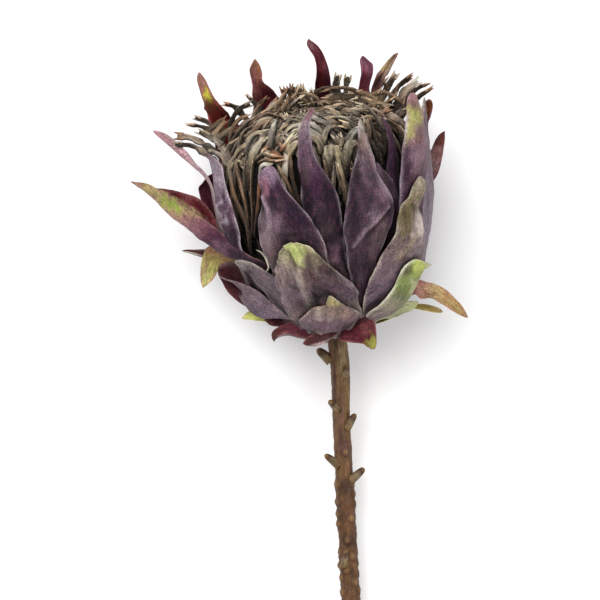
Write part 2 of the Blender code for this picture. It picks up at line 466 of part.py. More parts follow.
def floret_courses():
    """Each floret's places, with its half thickness at each."""
    draw = random.Random(SEED)
    courses = []
    for count, half, spread, course in FLORET_RINGS:
        for index in range(count):
            azimuth = 360.0 * (index + draw.uniform(-FLORET_STRAY, FLORET_STRAY)) / count
            swirl = draw.uniform(*FLORET_SWIRL)
            places = []
            for step, (radius, height) in enumerate(course):
                share = step / (len(course) - 1)
                radius += draw.uniform(-spread, spread) * share
                height += draw.uniform(-spread, spread) * share
                thin = half * (FLORET_ROOT if step == 0 else 1.0 - FLORET_TAPER * share**3)
                places.append((*floret_place(azimuth + swirl * share**2, radius, height), thin))
            courses.append(places)
    for half, course in LONE_FLORETS:
        courses.append([(*seen(x, y, w), half * share) for x, y, w, share in course])
    return courses


# the stem in the front view: x y w and radius as a share of the stem's
STEM_COURSE = [
    (2.2, -40, -6.5, 0.92), (5, -90, -6, 0.88), (7.5, -150, -3.5, 0.9),
    (9.5, -230, 0, 0.96), (10.5, -STEM_LENGTH, 2, 1.04)]
STEM_STRAIGHT = 13.0
STEM_RINGS = 22
STEM_SIDES = 12
STUB_SIDES = 6
STUB_TIP = 0.35

# leaf scars and stubs on the stem: foot x y, tip x y w, radius at the foot
STEM_STUBS = [
    ((-2.5, -11, -2.5), (-10, -6.4, -1.5), 2.6), ((4.0, -17, 0.0), (5.5, -12, 3.0), 1.8),
    ((0.5, -34, -3.0), (-3.6, -29.5, 0.5), 2.2), ((5.0, -43, -4.0), (9.2, -36.0, -2.0), 2.3),
    ((1.0, -62, -4.5), (-6.0, -56.5, -3.0), 2.3), ((7.0, -69, -4.0), (13.6, -63.2, -2.5), 2.4),
    ((4.0, -112, -1.5), (4.5, -104, 2.0), 2.0), ((9.5, -170, -3.0), (14.5, -161, -1.5), 2.2),
    ((6.0, -215, -0.5), (1.5, -207, 2.5), 2.0)]


def clear_scene():
    for leftover in list(bpy.data.objects):
        bpy.data.objects.remove(leftover)


def material(name, colour, roughness):
    paint = bpy.data.materials.new(name)
    paint.use_nodes = True
    surface = paint.node_tree.nodes["Principled BSDF"]
    surface.inputs["Base Color"].default_value = (*colour, 1.0)
    surface.inputs["Roughness"].default_value = roughness
    surface.inputs["Metallic"].default_value = 0.0
    return paint


def new_object(name, mesh, collection):
    piece = bpy.data.objects.new(name, mesh)
    collection.objects.link(piece)
    return piece


def leaf_object(name, rows, collection):
    """One bract: an open grid bent to its rows, given its thickness."""
    places = sheet(rows, LEAF_STATIONS, LEAF_STRIPS).reshape(-1, 3) * MM
    grid = bmesh.new()
    made = bmesh.ops.create_grid(grid, x_segments=LEAF_STRIPS, y_segments=LEAF_STATIONS - 1, size=1)
    for corner, place in zip(made["verts"], places):
        corner.co = place
    bmesh.ops.triangulate(grid, faces=grid.faces)
    mesh = bpy.data.meshes.new(name)
    grid.to_mesh(mesh)
    grid.free()
    leaf = new_object(name, mesh, collection)
    skin = leaf.modifiers.new("thickness", "SOLIDIFY")
    skin.thickness = BLADE * MM
    skin.offset = 0.0
    return leaf


def turned_object(name, profile, sides, collection):
    """A turned solid from a profile of radius and height that runs from the axis to the axis."""
    outline = bmesh.new()
    corners = [outline.verts.new((radius * MM, 0.0, height * MM)) for radius, height in profile]
    for first, second in zip(corners, corners[1:]):
        outline.edges.new((first, second))
    mesh = bpy.data.meshes.new(name)
    outline.to_mesh(mesh)
    outline.free()
    turned = new_object(name, mesh, collection)
    screw = turned.modifiers.new("turn", "SCREW")
    screw.steps = screw.render_steps = sides
    screw.use_merge_vertices = True
    screw.merge_threshold = 0.00001
    screw.use_normal_calculate = True
    return turned


def tube_object(name, places, sides, collection):
    """A closed tube along places with a half thickness at each, made a mesh for the union."""
    curve = bpy.data.curves.new(name, "CURVE")
    curve.dimensions = "3D"
    curve.bevel_depth = MM
    curve.bevel_resolution = (sides - 4) // 2
    curve.use_fill_caps = True
    line = curve.splines.new("POLY")
    line.points.add(len(places) - 1)
    for point, (x, y, z, half) in zip(line.points, places):
        point.co = (x * MM, y * MM, z * MM, 1.0)
        point.radius = half
    guide = new_object(name, curve, collection)
    solid = as_mesh(guide, name)
    bpy.data.objects.remove(guide)
    weld = bmesh.new()
    weld.from_mesh(solid)
    bmesh.ops.remove_doubles(weld, verts=weld.verts, dist=0.000001)
    bmesh.ops.recalc_face_normals(weld, faces=weld.faces)
    weld.to_mesh(solid)
    weld.free()
    return new_object(name, solid, collection)


def as_mesh(piece, name):
    bpy.context.view_layer.update()
    seen_now = piece.evaluated_get(bpy.context.evaluated_depsgraph_get())
    mesh = bpy.data.meshes.new_from_object(seen_now)
    mesh.name = name
    return mesh


def fused(name, body, repeats, collection, paint):
    """Join a body and the collection of its repeats in one solid."""
    union = body.modifiers.new("join", "BOOLEAN")
    union.operation = "UNION"
    union.operand_type = "COLLECTION"
    union.collection = repeats
    union.solver = "MANIFOLD"
    mesh = as_mesh(body, name)
    for spent in [body, *repeats.objects]:
        bpy.data.objects.remove(spent)
    bpy.data.collections.remove(repeats)
    keep_largest(mesh)
    mesh.materials.clear()
    mesh.materials.append(paint)
    return new_object(name, mesh, collection)


def keep_largest(mesh):
    """Drop what the union leaves loose: sealed pockets between blades, and scraps."""
    whole = bmesh.new()
    whole.from_mesh(mesh)
    left = set(whole.verts)
    islands = []
    while left:
        found = {left.pop()}
        edge_of = list(found)
        while edge_of:
            for edge in edge_of.pop().link_edges:
                for vert in edge.verts:
                    if vert in left:
                        left.remove(vert)
                        found.add(vert)
                        edge_of.append(vert)
        islands.append(found)
    largest = max(islands, key=len)
    loose = [vert for island in islands if island is not largest for vert in island]
    bmesh.ops.delete(whole, geom=loose, context="VERTS")
    whole.to_mesh(mesh)
    whole.free()


def make_collection(name):
    collection = bpy.data.collections.new(name)
    bpy.context.scene.collection.children.link(collection)
    return collection


def make_bracts(parts):
    repeats = make_collection("bract blades")
    for name, rows in all_bracts().items():
        leaf_object(name, rows, repeats)
    heights = (*RECEPTACLE_SIDE, RECEPTACLE_RIM)
    side = [(cup_radius(height) - RECEPTACLE_INSET, height) for height in heights[::-1]]
    top = side[0][0] - (RECEPTACLE_TOP - RECEPTACLE_RIM) / 2
    profile = [(0.0, RECEPTACLE_TOP), (top, RECEPTACLE_TOP), *side,
               (RECEPTACLE_FOOT_RADIUS, RECEPTACLE_FOOT), (0.0, RECEPTACLE_FOOT)]
    body = turned_object("receptacle", profile, RECEPTACLE_FACETS, parts)
    return fused("bracts", body, repeats, parts, material("dried bract", (0.19, 0.11, 0.16), 0.8))


def make_florets(parts):
    repeats = make_collection("single florets")
    for index, places in enumerate(floret_courses()):
        tube_object(f"floret_{index}", places, FLORET_SIDES, repeats)
    body = turned_object("floret core", FLORET_CORE, CORE_FACETS, parts)
    return fused("florets", body, repeats, parts, material("dried floret", (0.25, 0.19, 0.13), 0.9))


def make_stem(parts):
    seat = RECEPTACLE_FOOT - SEAT_GAP
    course = [((0.0, 0.0, seat), 1.0), ((0.0, 0.0, seat - STEM_STRAIGHT), 1.0)]
    course += [(tuple(seen(x, y, w)), share) for x, y, w, share in STEM_COURSE]
    line, _ = through([(*place, *place, share) for place, share in course], STEM_RINGS)
    repeats = make_collection("stubs")
    for index, (foot, tip, radius) in enumerate(STEM_STUBS):
        places = [(*seen(*foot), radius), (*seen(*tip), radius * STUB_TIP)]
        tube_object(f"stub_{index}", places, STUB_SIDES, repeats)
    places = [(*row[:3], row[6] * STEM_RADIUS) for row in line]
    body = tube_object("stem body", places, STEM_SIDES, parts)
    return fused("stem", body, repeats, parts, material("woody stem", (0.22, 0.14, 0.09), 0.75))


def lay_down(pieces, cutters):
    """Tip the finished pieces onto their back and take a hair off what touches the surface."""
    tip = Matrix.Rotation(PITCH, 4, "X") @ Matrix(BLOOM.T.tolist()).to_4x4()
    place = Matrix.Translation(Vector((SHIFT[0], SHIFT[1], FOOT_HEIGHT)) * MM) @ tip
    bpy.ops.mesh.primitive_cube_add(size=1.0)
    below = bpy.context.object
    below.name = "surface cutter"
    below.scale = (1.0, 1.0, BELOW_DEPTH)
    below.location = (0.0, 0.0, -BELOW_DEPTH / 2)
    below.display_type = "WIRE"
    below.hide_render = True
    for holder in list(below.users_collection):
        holder.objects.unlink(below)
    cutters.objects.link(below)
    for piece in pieces:
        piece.matrix_world = place
        if piece.name == "florets":
            continue
        level = piece.modifiers.new("level", "BOOLEAN")
        level.operation = "DIFFERENCE"
        level.solver = "MANIFOLD"
        level.object = below


def main():
    clear_scene()
    parts, cutters = make_collection(PART), make_collection("cutters")
    lay_down([make_bracts(parts), make_florets(parts), make_stem(parts)], cutters)


main()
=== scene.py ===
"""The looks of a dried king protea bloom on its cut stem, lying on its back.

Lengths in the tables are millimetres in the front view: x to the right, y up the page and
w towards the eye, from the foot of the bloom. The bloom's own frame stands on its foot with
the azimuth 0 to the right, -90 to the eye and 90 to the surface that the bloom lies on.
Colours in the tables are red, green and blue as the eye reads them, 0 to 255.
"""

import itertools
import math
import random

import bpy
import numpy as np
from mathutils import Matrix, Vector

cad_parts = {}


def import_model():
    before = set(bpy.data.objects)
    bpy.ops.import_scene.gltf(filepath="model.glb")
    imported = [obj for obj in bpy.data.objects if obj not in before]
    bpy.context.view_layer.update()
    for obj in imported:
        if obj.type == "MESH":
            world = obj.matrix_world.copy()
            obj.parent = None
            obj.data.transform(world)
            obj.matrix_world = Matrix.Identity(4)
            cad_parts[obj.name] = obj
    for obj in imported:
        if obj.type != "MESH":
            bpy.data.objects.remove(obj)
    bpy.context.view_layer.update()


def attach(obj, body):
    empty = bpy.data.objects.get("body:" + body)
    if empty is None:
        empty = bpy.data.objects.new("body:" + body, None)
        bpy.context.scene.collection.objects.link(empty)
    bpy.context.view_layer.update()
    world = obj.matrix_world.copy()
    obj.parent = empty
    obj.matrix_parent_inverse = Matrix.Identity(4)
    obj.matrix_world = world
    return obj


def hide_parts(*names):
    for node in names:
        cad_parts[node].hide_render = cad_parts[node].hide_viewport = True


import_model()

MM = 0.001
SEED = 7
SPAN_STEPS = 13

# driving sizes, millimetres
CUP_DIAMETER = 112.0
STEM_LENGTH = 300.0
STEM_RADIUS = 4.8
SEAT_GAP = 0.3

# the eye of the front view
EYE_DISTANCE = 1400.0
EYE_CENTRE = (-18.5, 21.0)
PAGE_WIDTH = 300.0
SENSOR_WIDTH = 36.0

# lamps: name, place and size in metres, power in watts. They all shine on one place.
LAMPS = [("key", (-0.3, 0.42, 1.25), 1.0, 12.0), ("fill", (0.6, -0.4, 1.0), 1.2, 4.0)]
LAMP_AIM = (0, 0.12, 0.05)
BACKDROP_STRENGTH = 0.52
FLOOR_SIZE = 6.0
FLOOR_TONE = (0.93, 0.93, 0.93, 1)

# how the bloom leans in the front view, and how the whole lies on the surface
LEAN = math.radians(6.5)
NOD = math.radians(17.0)
PITCH = math.radians(5.7)
FOOT_HEIGHT = 32.5
SHIFT = (18.9, 73.6)
FLOOR_GAP = 0.00005

AXIS = np.array([-math.sin(LEAN) * math.cos(NOD), math.cos(LEAN) * math.cos(NOD), math.sin(NOD)])
SIDE = np.array([1.0, 0.0, 0.0]) - AXIS[0] * AXIS
SIDE = SIDE / np.linalg.norm(SIDE)
BLOOM = np.array([SIDE, np.cross(AXIS, SIDE), AXIS])
TURN = np.array(Matrix.Rotation(PITCH, 3, "X")) @ BLOOM.T
HOME = np.array([SHIFT[0], SHIFT[1], FOOT_HEIGHT])

# the cup's outer form: radius over height, as shares of its diameter
CUP = CUP_DIAMETER * np.array([
    (0.07, 0.0), (0.14, 0.045), (0.23, 0.10), (0.30, 0.15), (0.365, 0.23), (0.42, 0.36), (0.465, 0.48),
    (0.49, 0.61), (0.50, 0.73), (0.487, 0.86), (0.455, 0.965), (0.41, 1.055), (0.32, 1.125)])

# depths tried along a line of sight to the cup, from the front to the back
CUP_DEPTHS = np.arange(100.0, -75.0, -0.25)

# the receptacle that every bract is rooted in
RECEPTACLE_TOP = 34.0
RECEPTACLE_FOOT = -2.0
RECEPTACLE_INSET = 4.0
RECEPTACLE_CROWN = [(0.0, RECEPTACLE_TOP), (20.0, RECEPTACLE_TOP), (34.0, RECEPTACLE_TOP - 2)]
RECEPTACLE_HEIGHTS = (24, 14, 8)
RECEPTACLE_NECK = [(5.6, 5.2), (4.0, 4.0), (0.0, 4.0)]
TURNED_SIDES = 64

# how uneven a turned form and its tint are, each with its wavelengths in millimetres
TURNED_UNEVEN = (0.01, (9, 9))
TURNED_MOTTLE = (0.15, (9, 9, 9))
RECEPTACLE_SHADE = 0.6

# the hidden foot of a bract: how far below its first row, how far inside the cup, share of its width
ROOT_DROP = 5.0
ROOT_HIGHEST = 29.0
ROOT_LOWEST = 1.5
ROOT_INSET = 7.5
ROOT_SHARE = 0.55
TALL_ROOT_FROM = 36.0
TALL_ROOT = (31.0, 3.0, 0.75)

# bracts: millimetres between stations and strips across, fewest and most stations, thickness
FINE_BRACT = (1.05, 26)
COARSE_BRACT = (1.6, 16)
BRACT_STATIONS = (30, 110)
BRACT_THICK = 1.1
RIM_THICK = 0.35
RIM_BAND = 2.2
TIP_ROUND = 0.95
TIP_FROM = 0.96

# random relief of a bract: how strong, and its wavelengths along and across in millimetres
WRINKLES = (0.6, (26, 7))
CREASES = (0.35, (9, 2.6))
WAVES = (0.22, (20, 60))
RAGS = (0.012, (9, 30))
MOST_RELIEF = 1.5
WAVE_COUNT = 16

# room for relief: it grows over this far from the root and this half width, with a least share
RELIEF_ROOM = (12.0, 4.0, 0.15)

# random tones of a bract in the same way, and how far spots and patches stray on the page
CLOUDS = (0.10, (18, 8))
FLECKS = (0.12, (5, 2.4))
SPOT_STRAY = (0.9, 7)
PATCH_STRAY = (0.7, 4)
SPOT_EDGE = 1.6

# how strong clouds of brown are, from which fleck stains start and how strong, the painted light and shade
# of relief
CLOUD_BROWN = 0.10
STAINS_FROM = 0.5
STAIN_STRENGTH = 0.3
RELIEF_SHADE = 0.22
RIM_PATCHES = (14, 60)


def cup_radius(height):
    return np.interp(height, CUP[:, 1], CUP[:, 0])


def polar(azimuth, radius, height):
    """A place in the bloom's frame."""
    turn = math.radians(azimuth)
    return np.array([radius * math.cos(turn), radius * math.sin(turn), height])


def seen(x, y, w):
    """The place in the bloom's frame that shows at x, y, and is w in front of the foot."""
    shrink = 1.0 - np.asarray(w, float) / EYE_DISTANCE
    across = EYE_CENTRE[0] + (x - EYE_CENTRE[0]) * shrink
    up = EYE_CENTRE[1] + (y - EYE_CENTRE[1]) * shrink
    return np.stack([across, up, shrink * 0 + w], axis=-1) @ BLOOM.T


def on_page(places):
    """Where places of the bloom's frame show in the front view."""
    at = places @ BLOOM
    shrink = 1.0 - at[..., 2:] / EYE_DISTANCE
    return EYE_CENTRE + (at[..., :2] - EYE_CENTRE) / shrink


def world(places):
    """Places of the bloom's frame, in millimetres, as places of the scene, in metres."""
    return (places @ TURN.T + HOME) * MM


def unit(vectors):
    return vectors / np.maximum(np.linalg.norm(vectors, axis=-1, keepdims=True), 1e-9)


def grid(*parts):
    """One vector for each vertex of a grid, from parts that are spread over it."""
    return np.stack(np.broadcast_arrays(*parts), axis=-1)


def circle(sides):
    """Even angles round a full turn."""
    return np.linspace(0, 2 * math.pi, sides, endpoint=False)


def on_cup(x, y, lift, far=False):
    """The place on the cup, or lift off it, that shows at x, y on the near or the far side."""
    line = seen(x, y, CUP_DEPTHS[::-1] if far else CUP_DEPTHS)
    clear = np.hypot(line[:, 0], line[:, 1]) - cup_radius(line[:, 2]) - lift
    hits = np.nonzero(clear <= 0)[0]
    return line[hits[0]] if len(hits) else line[np.argmin(clear)]


def hug(rows, far=False):
    """Leaf rows laid on the cup: left x y, right x y, lift and bulge. On the far side the
    inner face shows, so the edges change places."""
    laid = []
    for x_left, y_left, x_right, y_right, lift, bulge in rows:
        left, right = on_cup(x_left, y_left, lift, far), on_cup(x_right, y_right, lift, far)
        middle = (left + right) / 2
        follow = cup_radius(middle[2]) + lift - math.hypot(middle[0], middle[1])
        if far:
            left, right = right, left
        laid.append((*left, *right, max(follow, 0.0) + bulge))
    return laid


def free(rows):
    """Leaf rows that stand off the cup: left x y w, right x y w and bulge."""
    return [(*seen(*row[0:3]), *seen(*row[3:6]), row[6]) for row in rows]


def ribbed(rows):
    """Leaf rows about a middle line: azimuth, radius, height, half width and bulge."""
    middle = np.array([polar(*row[:3]) for row in rows])
    laid = []
    for place, run, (azimuth, _, _, half, bulge) in zip(middle, np.gradient(middle, axis=0), rows):
        run = run / np.linalg.norm(run)
        turn = math.radians(azimuth)
        across = np.array([-math.sin(turn), math.cos(turn), 0.0])
        across = across - across.dot(run) * run
        across = across / np.linalg.norm(across)
        back = np.cross(across, run) * bulge
        laid.append((*(place - across * half - back), *(place + across * half - back), bulge))
    return laid


def rooted(rows):
    """Add the hidden foot of a leaf, which runs down outside the receptacle and into it."""
    left, right, bulge = np.array(rows[0][:3]), np.array(rows[0][3:6]), rows[0][6]
    middle = (left + right) / 2
    azimuth = math.degrees(math.atan2(middle[1], middle[0]))
    half = (right - left) / 2
    feet = []
    heights = [(min(middle[2], ROOT_HIGHEST) - ROOT_DROP, ROOT_INSET, ROOT_SHARE)]
    if middle[2] > TALL_ROOT_FROM:
        heights.append(TALL_ROOT)
    for height, inset, share in heights:
        height = max(height, ROOT_LOWEST)
        place = polar(azimuth, max(cup_radius(height) - inset, ROOT_LOWEST), height)
        feet.append((*(place - half * share), *(place + half * share), bulge * share))
    return feet + list(rows)


def through(rows, count):
    """Even stations on a smooth curve through a leaf's rows, and how far along each is."""
    rows = np.asarray(rows, float)
    middle = (rows[:, :3] + rows[:, 3:6]) / 2
    knot = np.concatenate([[0], np.cumsum(np.linalg.norm(np.diff(middle, axis=0), axis=1) ** 0.5)])
    rows = np.vstack([2 * rows[0] - rows[1], rows, 2 * rows[-1] - rows[-2]])
    knot = np.concatenate([[2 * knot[0] - knot[1]], knot, [2 * knot[-1] - knot[-2]]])
    slope = (rows[2:] - rows[:-2]) / (knot[2:] - knot[:-2])[:, None]
    t = np.linspace(0, 1, SPAN_STEPS)[:, None]
    fine = []
    for i in range(1, len(rows) - 2):
        span = knot[i + 1] - knot[i]
        fine.append((2 * t**3 - 3 * t**2 + 1) * rows[i] + (t**3 - 2 * t**2 + t) * slope[i - 1] * span
                    + (3 * t**2 - 2 * t**3) * rows[i + 1] + (t**3 - t**2) * slope[i] * span)
    fine = np.vstack(fine)
    run = distances((fine[:, :3] + fine[:, 3:6]) / 2)
    even = np.linspace(0, run[-1], count)
    return np.column_stack([np.interp(even, run, fine[:, k]) for k in range(fine.shape[1])]), even / run[-1]


def distances(places):
    """How far along a line of places each of them lies."""
    return np.concatenate([[0], np.cumsum(np.linalg.norm(np.diff(places, axis=0), axis=1))])


def smooth_course(rows, count):
    """Even places on a smooth curve through rows of x y z and a share."""
    line, along = through([(*row[:3], *row[:3], row[3]) for row in rows], count)
    return line[:, :3], line[:, 6], along


# bracts whose outer face lies on the near side of the cup: left x y, right x y, lift, bulge
NEAR_BRACTS = {
    "front_left": [
        (-20, 8, 2, 10, -2, 0.5), (-30, 25, -2, 28, -1, 0.5), (-33.5, 38, -4.5, 42, -0.5, 0.5),
        (-38.3, 50, -6.5, 50, 0, 0.8), (-39.5, 60, -12, 60, 0, 1.5), (-37.8, 68, -18, 67.5, 0, 1.5),
        (-37.2, 75, -24.5, 75, 0, 1.2), (-38.8, 80.5, -28, 80.5, 0.5, 1.2),
        (-39, 84, -29.7, 84.5, 0.5, 0.9), (-36, 88, -31, 88.4, 0.3, 0.4)],
    "front_centre": [
        (-6, 12, 10, 14, -3.5, 0.5), (-9, 30, 7, 31, -3, 0.5), (-12, 45, 4.6, 45, -2.5, 0.8),
        (-15, 56, 2.7, 56, -2, 1), (-17, 66, 2, 66, -1.5, 1.5), (-18, 74, 0, 74, -1, 1.6),
        (-18.5, 82, -4, 81.5, -0.5, 1.8), (-19.3, 90, -9.6, 90, 0, 1.8), (-19.6, 97, -12.2, 97, 0, 1.6),
        (-19.2, 103, -13.4, 103, 0, 1.3), (-17.9, 108.5, -13.6, 108.5, 0, 1),
        (-16.4, 112, -12.8, 112, 0, 0.8), (-14.9, 115, -11, 115, 0, 0.8),
        (-14.4, 117.4, -11, 117.2, -0.3, 0.5)],
    "front_right": [
        (8, 12, 14, 12, -2, 0.3), (7.5, 28, 15, 28, -1, 0.4), (5.3, 38, 19, 38, 0, 0.6),
        (4.5, 47, 22.3, 47, 0.5, 1), (3, 55, 25.3, 55, 0.8, 1.3), (3.8, 63, 27.6, 63, 1, 1.6),
        (4.8, 70.5, 28, 71, 1, 2), (5.8, 77, 25, 76.5, 1, 2.4), (7.2, 84, 20, 83.5, 1, 2.2),
        (9.2, 91, 17.8, 91, 1, 1.8), (10.5, 98, 15.8, 98, 1, 1.4), (10.6, 104, 14.2, 104, 1, 1),
        (10.6, 109, 12.9, 109, 0.8, 0.5), (11, 111.4, 12, 111.4, 0.6, 0.2)],
    "front_right_inner": [
        (14, 30, 26, 28, -4, 0.5), (15, 55, 30, 55, -4, 0.5), (16.5, 70, 31, 70, -4, 1),
        (17.5, 80, 28.4, 79, -4, 1.2), (18.5, 86, 24, 84.5, -4, 0.8), (19.3, 90, 20.6, 89.5, -4, 0.3)],
    "front_right_deep": [
        (19, 45, 29, 45, -5, 0.5), (22, 70, 31.5, 70, -5, 0.8), (25, 90, 30.8, 90, -4.5, 1),
        (25.8, 99, 29, 99, -4.5, 0.9), (24.4, 106, 26.8, 107, -4.5, 0.6),
        (21.6, 112, 22.8, 112.6, -4.5, 0.2)],
    "right_tall": [
        (20, 20, 28, 20, -2, 0.5), (27, 40, 38, 38, -1, 1), (30, 58, 41.5, 57, 0, 1.4),
        (31.2, 72, 42.8, 72, 0.3, 1.8), (31.7, 82, 43.7, 83, 0.6, 2.2), (32, 90, 44.4, 91, 1, 2.4),
        (32.8, 97, 44.3, 97, 2, 2.4), (33.8, 104, 43.6, 104, 4, 2.1), (34.3, 110, 43, 110, 5.6, 1.7),
        (34.7, 116, 41.7, 116, 7.5, 1.3), (35, 121, 40.2, 121.5, 9, 1), (36, 124.3, 39, 124.4, 10, 0.6)],
    "left_inner": [
        (-44, 30, -37, 30, -2, 0.8), (-51, 46.5, -47, 46, -2, 0.8), (-56, 54, -48.4, 53, -1.5, 1.5),
        (-58.8, 62, -50.5, 62, -0.5, 2.2), (-59.8, 70, -53, 70, 0, 2.4), (-60.4, 77, -55.2, 77, 0.5, 2.2),
        (-61.5, 83, -56.5, 83, 1, 1.8), (-62.7, 88, -57.2, 87.5, 1, 1.4),
        (-64.2, 92.5, -60.8, 91.8, 1, 0.8), (-65, 95, -64, 94.5, 1, 0.2)],
    "low_left": [
        (-14, 5, 10, 6, 0, 0.5), (-21, 11, 12.3, 14, 1.5, 1), (-27.5, 18, 11.3, 20, 2.5, 1.2),
        (-30.8, 27, 9.5, 27.5, 3.2, 1.4), (-31, 35, 0.5, 35, 3.8, 1.8), (-29.5, 42, -7, 41.5, 4.2, 1.8),
        (-27.6, 47, -12.5, 47, 4.8, 1.4), (-26, 49.9, -17, 49.7, 5, 0.8)],
    "lowest_front": [
        (-9, 6.4, 4, 6.4, -1, 0.3), (-14.4, 7.2, 6.4, 7.8, 3.5, 0.8), (-19.2, 9.8, 10.4, 11.8, 5, 1.1),
        (-16.8, 13.2, 11.6, 14.6, 5, 1.5), (-10.8, 17.8, 5.2, 17.8, 5.8, 1.3),
        (-6.4, 18.2, 2.2, 19.4, 6.4, 1), (-5.2, 20.6, 0, 21, 6.8, 0.8), (-4.4, 23.4, -2.4, 23, 7.4, 0.3)],
    "low_right": [
        (12, 10, 17, 11, 1, 0.5), (13.5, 22, 27.5, 21, 1.5, 1), (17, 33, 38, 31, 2, 1.2),
        (22.5, 44, 43, 44, 2.5, 1.5), (28.5, 53, 44, 52, 3, 1.8), (30.2, 61, 43, 61, 3.5, 2.2),
        (31.8, 68, 40.8, 67.3, 3.8, 2.2), (35.6, 72.5, 42, 72, 4, 2.2), (37.8, 78, 43.2, 78, 4.5, 2),
        (40.2, 83, 42.9, 82.8, 4.5, 1)],
    "green_right": [
        (13, 12, 16.6, 8.4, 1, 0.5), (16.6, 15.4, 20.6, 11.6, 3, 0.8), (21, 18.5, 27, 14.2, 4, 1.2),
        (25.5, 23, 33, 18.3, 4.5, 1.5), (28.5, 28, 37, 23.5, 5, 1.8), (31, 33.5, 39.8, 28.8, 5.5, 1.9),
        (34.5, 38.5, 41.6, 33, 6.5, 1.8), (39.3, 41.5, 43.3, 35.7, 8, 1.2), (43.5, 40.3, 45, 37.2, 10, 0.6),
        (47, 39.2, 47.4, 38.2, 12.5, 0.2)],
    "pale_right": [
        (12, 9, 15, 4, 1, 0.4), (19, 13, 20, 10.6, 2.5, 0.6), (27.5, 16.8, 28.3, 12.5, 3.5, 0.9),
        (33.5, 19.8, 34, 15, 5, 0.9), (38, 20.4, 37.8, 17, 7, 0.5), (40.7, 20.3, 40.6, 19.6, 9, 0.1)],
    "mid_low_left": [
        (-18, 6, -10, 12, 0, 0.5), (-27, 15, -21, 24, 1, 0.8), (-33, 20.5, -29, 31, 1.5, 1),
        (-39.4, 28.6, -36, 35.8, 2, 1.2), (-44, 34.4, -42, 39.4, 3, 1.2), (-48.4, 37, -47.5, 41, 4.5, 0.9),
        (-51.5, 39.6, -50.7, 41.3, 6, 0.3)],
}

# bracts on the far side, whose tips show above the florets
FAR_BRACTS = {
    "back_left_far": [
        (-50, 60, -36, 62, 0, 1.5), (-57, 82, -40, 86, 1, 1.8), (-61, 100, -46, 104, 3, 1.8),
        (-64, 111.5, -52.6, 112, 6, 1.8), (-66.8, 120, -60, 120.5, 8, 1.5),
        (-68.6, 126.3, -64, 127, 9, 1.2), (-70.2, 131.5, -66.1, 131.5, 10, 0.9),
        (-70.2, 134.6, -67.6, 134.8, 10, 0.3)],
    "back_left": [
        (-40, 78, -22, 82, 0, 1), (-43, 98, -24, 102, 0.5, 1.4), (-42.4, 110, -26, 114, 1, 1.8),
        (-41.7, 119, -28.6, 121, 2, 2), (-41.9, 124.5, -32, 126, 3, 2), (-42.6, 130, -36.9, 130, 4, 1.8),
        (-43.4, 135.5, -37.5, 134.5, 5, 1.5), (-42.8, 139, -38.6, 138.8, 6, 1),
        (-41.9, 141.4, -40.1, 141.4, 6.5, 0.4)],
    "back_centre": [
        (-17, 86, 0, 86, 0, 1), (-15, 104, -1, 104, 0.5, 1.4), (-12.7, 118, -2, 118, 1, 1.8),
        (-10.9, 127.5, -2.7, 128, 2, 1.9), (-10.2, 135, -4, 135, 3, 1.8), (-11.2, 142, -6.2, 142.6, 5, 1.6),
        (-13.8, 146.6, -9, 147.4, 7, 1.3), (-15.5, 149.4, -12.2, 150.6, 8.5, 0.8),
        (-15, 151.3, -13.4, 151.5, 9, 0.3)],
    "back_right": [
        (3, 86, 20, 86, 0, 1), (6, 106, 19.5, 106, 0.5, 1.4), (8.8, 120, 17.4, 120, 1, 1.4),
        (11, 127.5, 16.4, 128, 2, 1.2), (12, 134, 17.5, 134, 3, 1.2), (11.7, 138.8, 17.6, 138.5, 4, 1),
        (11.1, 141.5, 15.4, 141.5, 5, 0.7), (11.9, 143, 13.5, 143, 5.5, 0.2)],
    "back_right_far": [
        (14, 88, 32, 88, 0, 1), (15, 106, 28, 106, 1, 1.4), (16, 119, 22.5, 119, 2, 1.6),
        (17.8, 128.6, 22, 128, 4, 1.8), (20.6, 134.4, 24.4, 132.8, 6, 1.8),
        (24, 139.2, 26.9, 137.9, 8, 1.5), (27.6, 143.2, 29.1, 141.8, 10, 0.9),
        (29.9, 145, 30.9, 144.2, 11, 0.2)],
    "right_back_tip": [
        (30, 55, 42, 55, -1, 1), (33, 78, 45, 80, 0, 1.2), (38, 98, 46, 97, 2, 1.2),
        (40.8, 108, 44.8, 108, 4, 1.2), (42.4, 114, 46.6, 113.7, 6, 1.2), (43.3, 118.4, 48, 118.4, 8, 0.8),
        (44.5, 121.2, 47.6, 121.3, 9, 0.3)],
}

